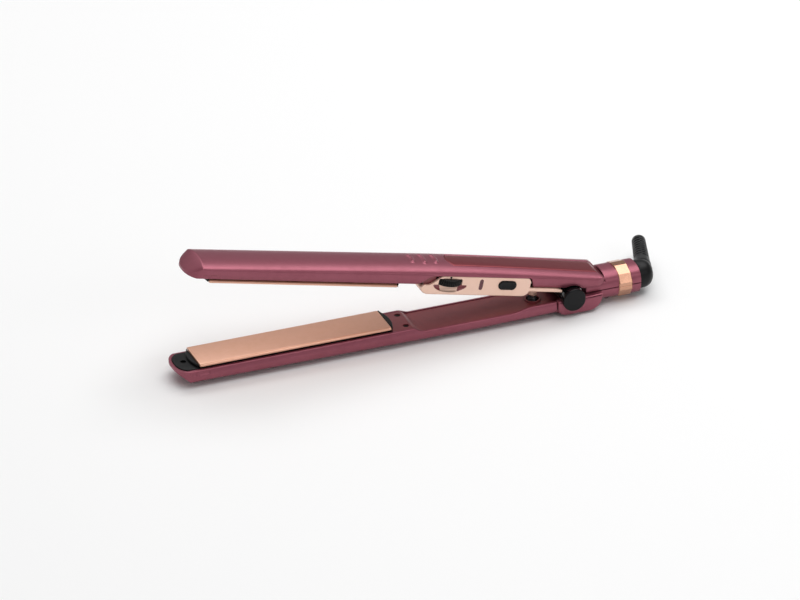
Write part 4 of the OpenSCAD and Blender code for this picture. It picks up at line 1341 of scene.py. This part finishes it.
# %% [markdown]
# ## Small moulded parts
# Covers, carriers, pads and the lamp window already have their true shape in the frame, only with
# knife edges. Each gets a copy: its loose triangles are merged, its flat faces joined, and its edges
# rounded by a tenth or two of a millimetre, as a moulding tool would leave them.

# %% Small moulded parts
MOULD_CRISP = 30


def polished(node, name, body, slot, width):
    """A merged copy of a node with edges rounded by `width` millimetres, standing in for it."""
    mesh = frame["nodes"][node].data.copy()
    mesh.name = name
    clean(mesh, MOULD_CRISP, join_flat=True)
    obj = add_object(name, mesh)
    bevel = obj.modifiers.new("soft_edges", "BEVEL")
    bevel.width = width * MM
    bevel.segments = 2
    bevel.limit_method = "ANGLE"
    bevel.angle_limit = math.radians(MOULD_CRISP)
    bevel.harden_normals = True
    return piece(obj, body, slot, node)


MOULDED = [
    ("lower_plate_carrier", "lower_carrier_channel", "lower_arm", "black_plastic", 0.15),
    ("upper_end_cover", "upper_plate_land", "upper_arm", "burgundy_inner", 0.25),
    ("upper_plate_carrier", "upper_carrier_channel", "upper_arm", "black_plastic", 0.15),
    ("rubber_foot", "underside_foot", "lower_arm", "black_rubber", 0.15),
    ("light_window", "indicator_window", "upper_arm", "dark_window", 0.1),
    ("hinge_barrel", "hinge_barrel_bracket", "upper_arm", "black_plastic", 0.2),
]
for row in MOULDED:
    polished(*row)

# %% [markdown]
# ## Cushions
# Each plate floats on silicone cushions, which are pressed flatter as the plate moves in. They are
# polished like the other small parts and hang on their arm.

# %% Cushions
CUSHION_X, CUSHION_FOOT, CUSHION_KEEP = -150, 4.32, 0.8
FEET = {"lower": (on_lower, CUSHION_FOOT), "upper": (on_upper, 2 * PLATE_Z - CUSHION_FOOT)}
for arm, (place, foot) in FEET.items():
    pads = polished(arm + "_cushions", arm + "_cushion_pads", arm + "_arm", "silicone", 0.25)
    up = place([CUSHION_X, 0, 1]) - place([CUSHION_X, 0, 0])
    tuple(place([CUSHION_X, 0, foot]))
    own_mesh(pads)

# %% [markdown]
# ## What stays as it is
# The parts inside keep their frame shapes. They still get their finishes, because they show when the
# arms are opened wide or a cover is taken away.

# %% Remaining nodes
RECORD_SLOT = {s["node"]: s["material_slot"] for s in frame["record"]["subparts"]}
for node_name, node_object in frame["nodes"].items():
    node_object.data.materials.clear()
    node_object.data.materials.append(FINISH[RECORD_SLOT[node_name]])
print("finishes given to", len(frame["nodes"]), "nodes")

# %% [markdown]
# ## Floor and light
# The object lies on a plain pale sheet. Two wide soft boxes hang above it, one a little behind and
# one in front, so each draws a broad band along the pearl shell, and a low card in front lights
# the side of the controls. A single bare lamp would give a hard streak and a black shadow. The
# standard view is chosen so that the pale floor and the blacks keep their values.

# %% Floor and light
FLOOR_HALF, FLOOR_Z_M, FLOOR_TONE, WORLD_LIGHT = 30.0, -0.0002, 0.93, 0.32
LAMPS = [("rear_box", (0.5, 0.9, 1.9), (3.0, 1.2), 28),
         ("front_box", (0.4, -0.6, 1.9), (2.6, 0.8), 17),
         ("front_card", (0.8, -2.0, 1.15), (1.8, 0.5), 5)]


def make_floor():
    """A large square just under the object, in matt paper."""
    paper = bpy.data.materials.new("paper")
    paper.use_nodes = True
    shader = paper.node_tree.nodes["Principled BSDF"]
    shader.inputs["Base Color"].default_value = (FLOOR_TONE, FLOOR_TONE, FLOOR_TONE, 1)
    shader.inputs["Roughness"].default_value = 0.9
    shader.inputs["Specular IOR Level"].default_value = 0.1
    mesh = bpy.data.meshes.new("floor")
    s = FLOOR_HALF
    corners = [(-s, -s, FLOOR_Z_M), (s, -s, FLOOR_Z_M), (s, s, FLOOR_Z_M), (-s, s, FLOOR_Z_M)]
    mesh.from_pydata(corners, [], [(0, 1, 2, 3)])
    mesh.materials.append(paper)
    add_object("floor", mesh)


def area_light(name, place, size, power):
    """A rectangular soft light that faces the object; place and size in metres, power in watts."""
    data = bpy.data.lights.new(name, "AREA")
    data.shape = "RECTANGLE"
    data.size, data.size_y = size
    data.energy = power
    light = add_object(name, data)
    light.location = place
    light.rotation_mode = "QUATERNION"
    light.rotation_quaternion = (-Vector(place)).to_track_quat("-Z", "Y")
    print(name, "at", place, power, "W")


def make_world():
    """A dim even surround, and the view without a film curve."""
    world = bpy.data.worlds.new("studio")
    bpy.context.scene.world = world
    world.use_nodes = True
    background = world.node_tree.nodes["Background"]
    background.inputs["Color"].default_value = (1, 1, 1, 1)
    background.inputs["Strength"].default_value = WORLD_LIGHT
    bpy.context.scene.view_settings.view_transform = "Standard"


make_floor()
make_world()
for lamp in LAMPS:
    area_light(*lamp)
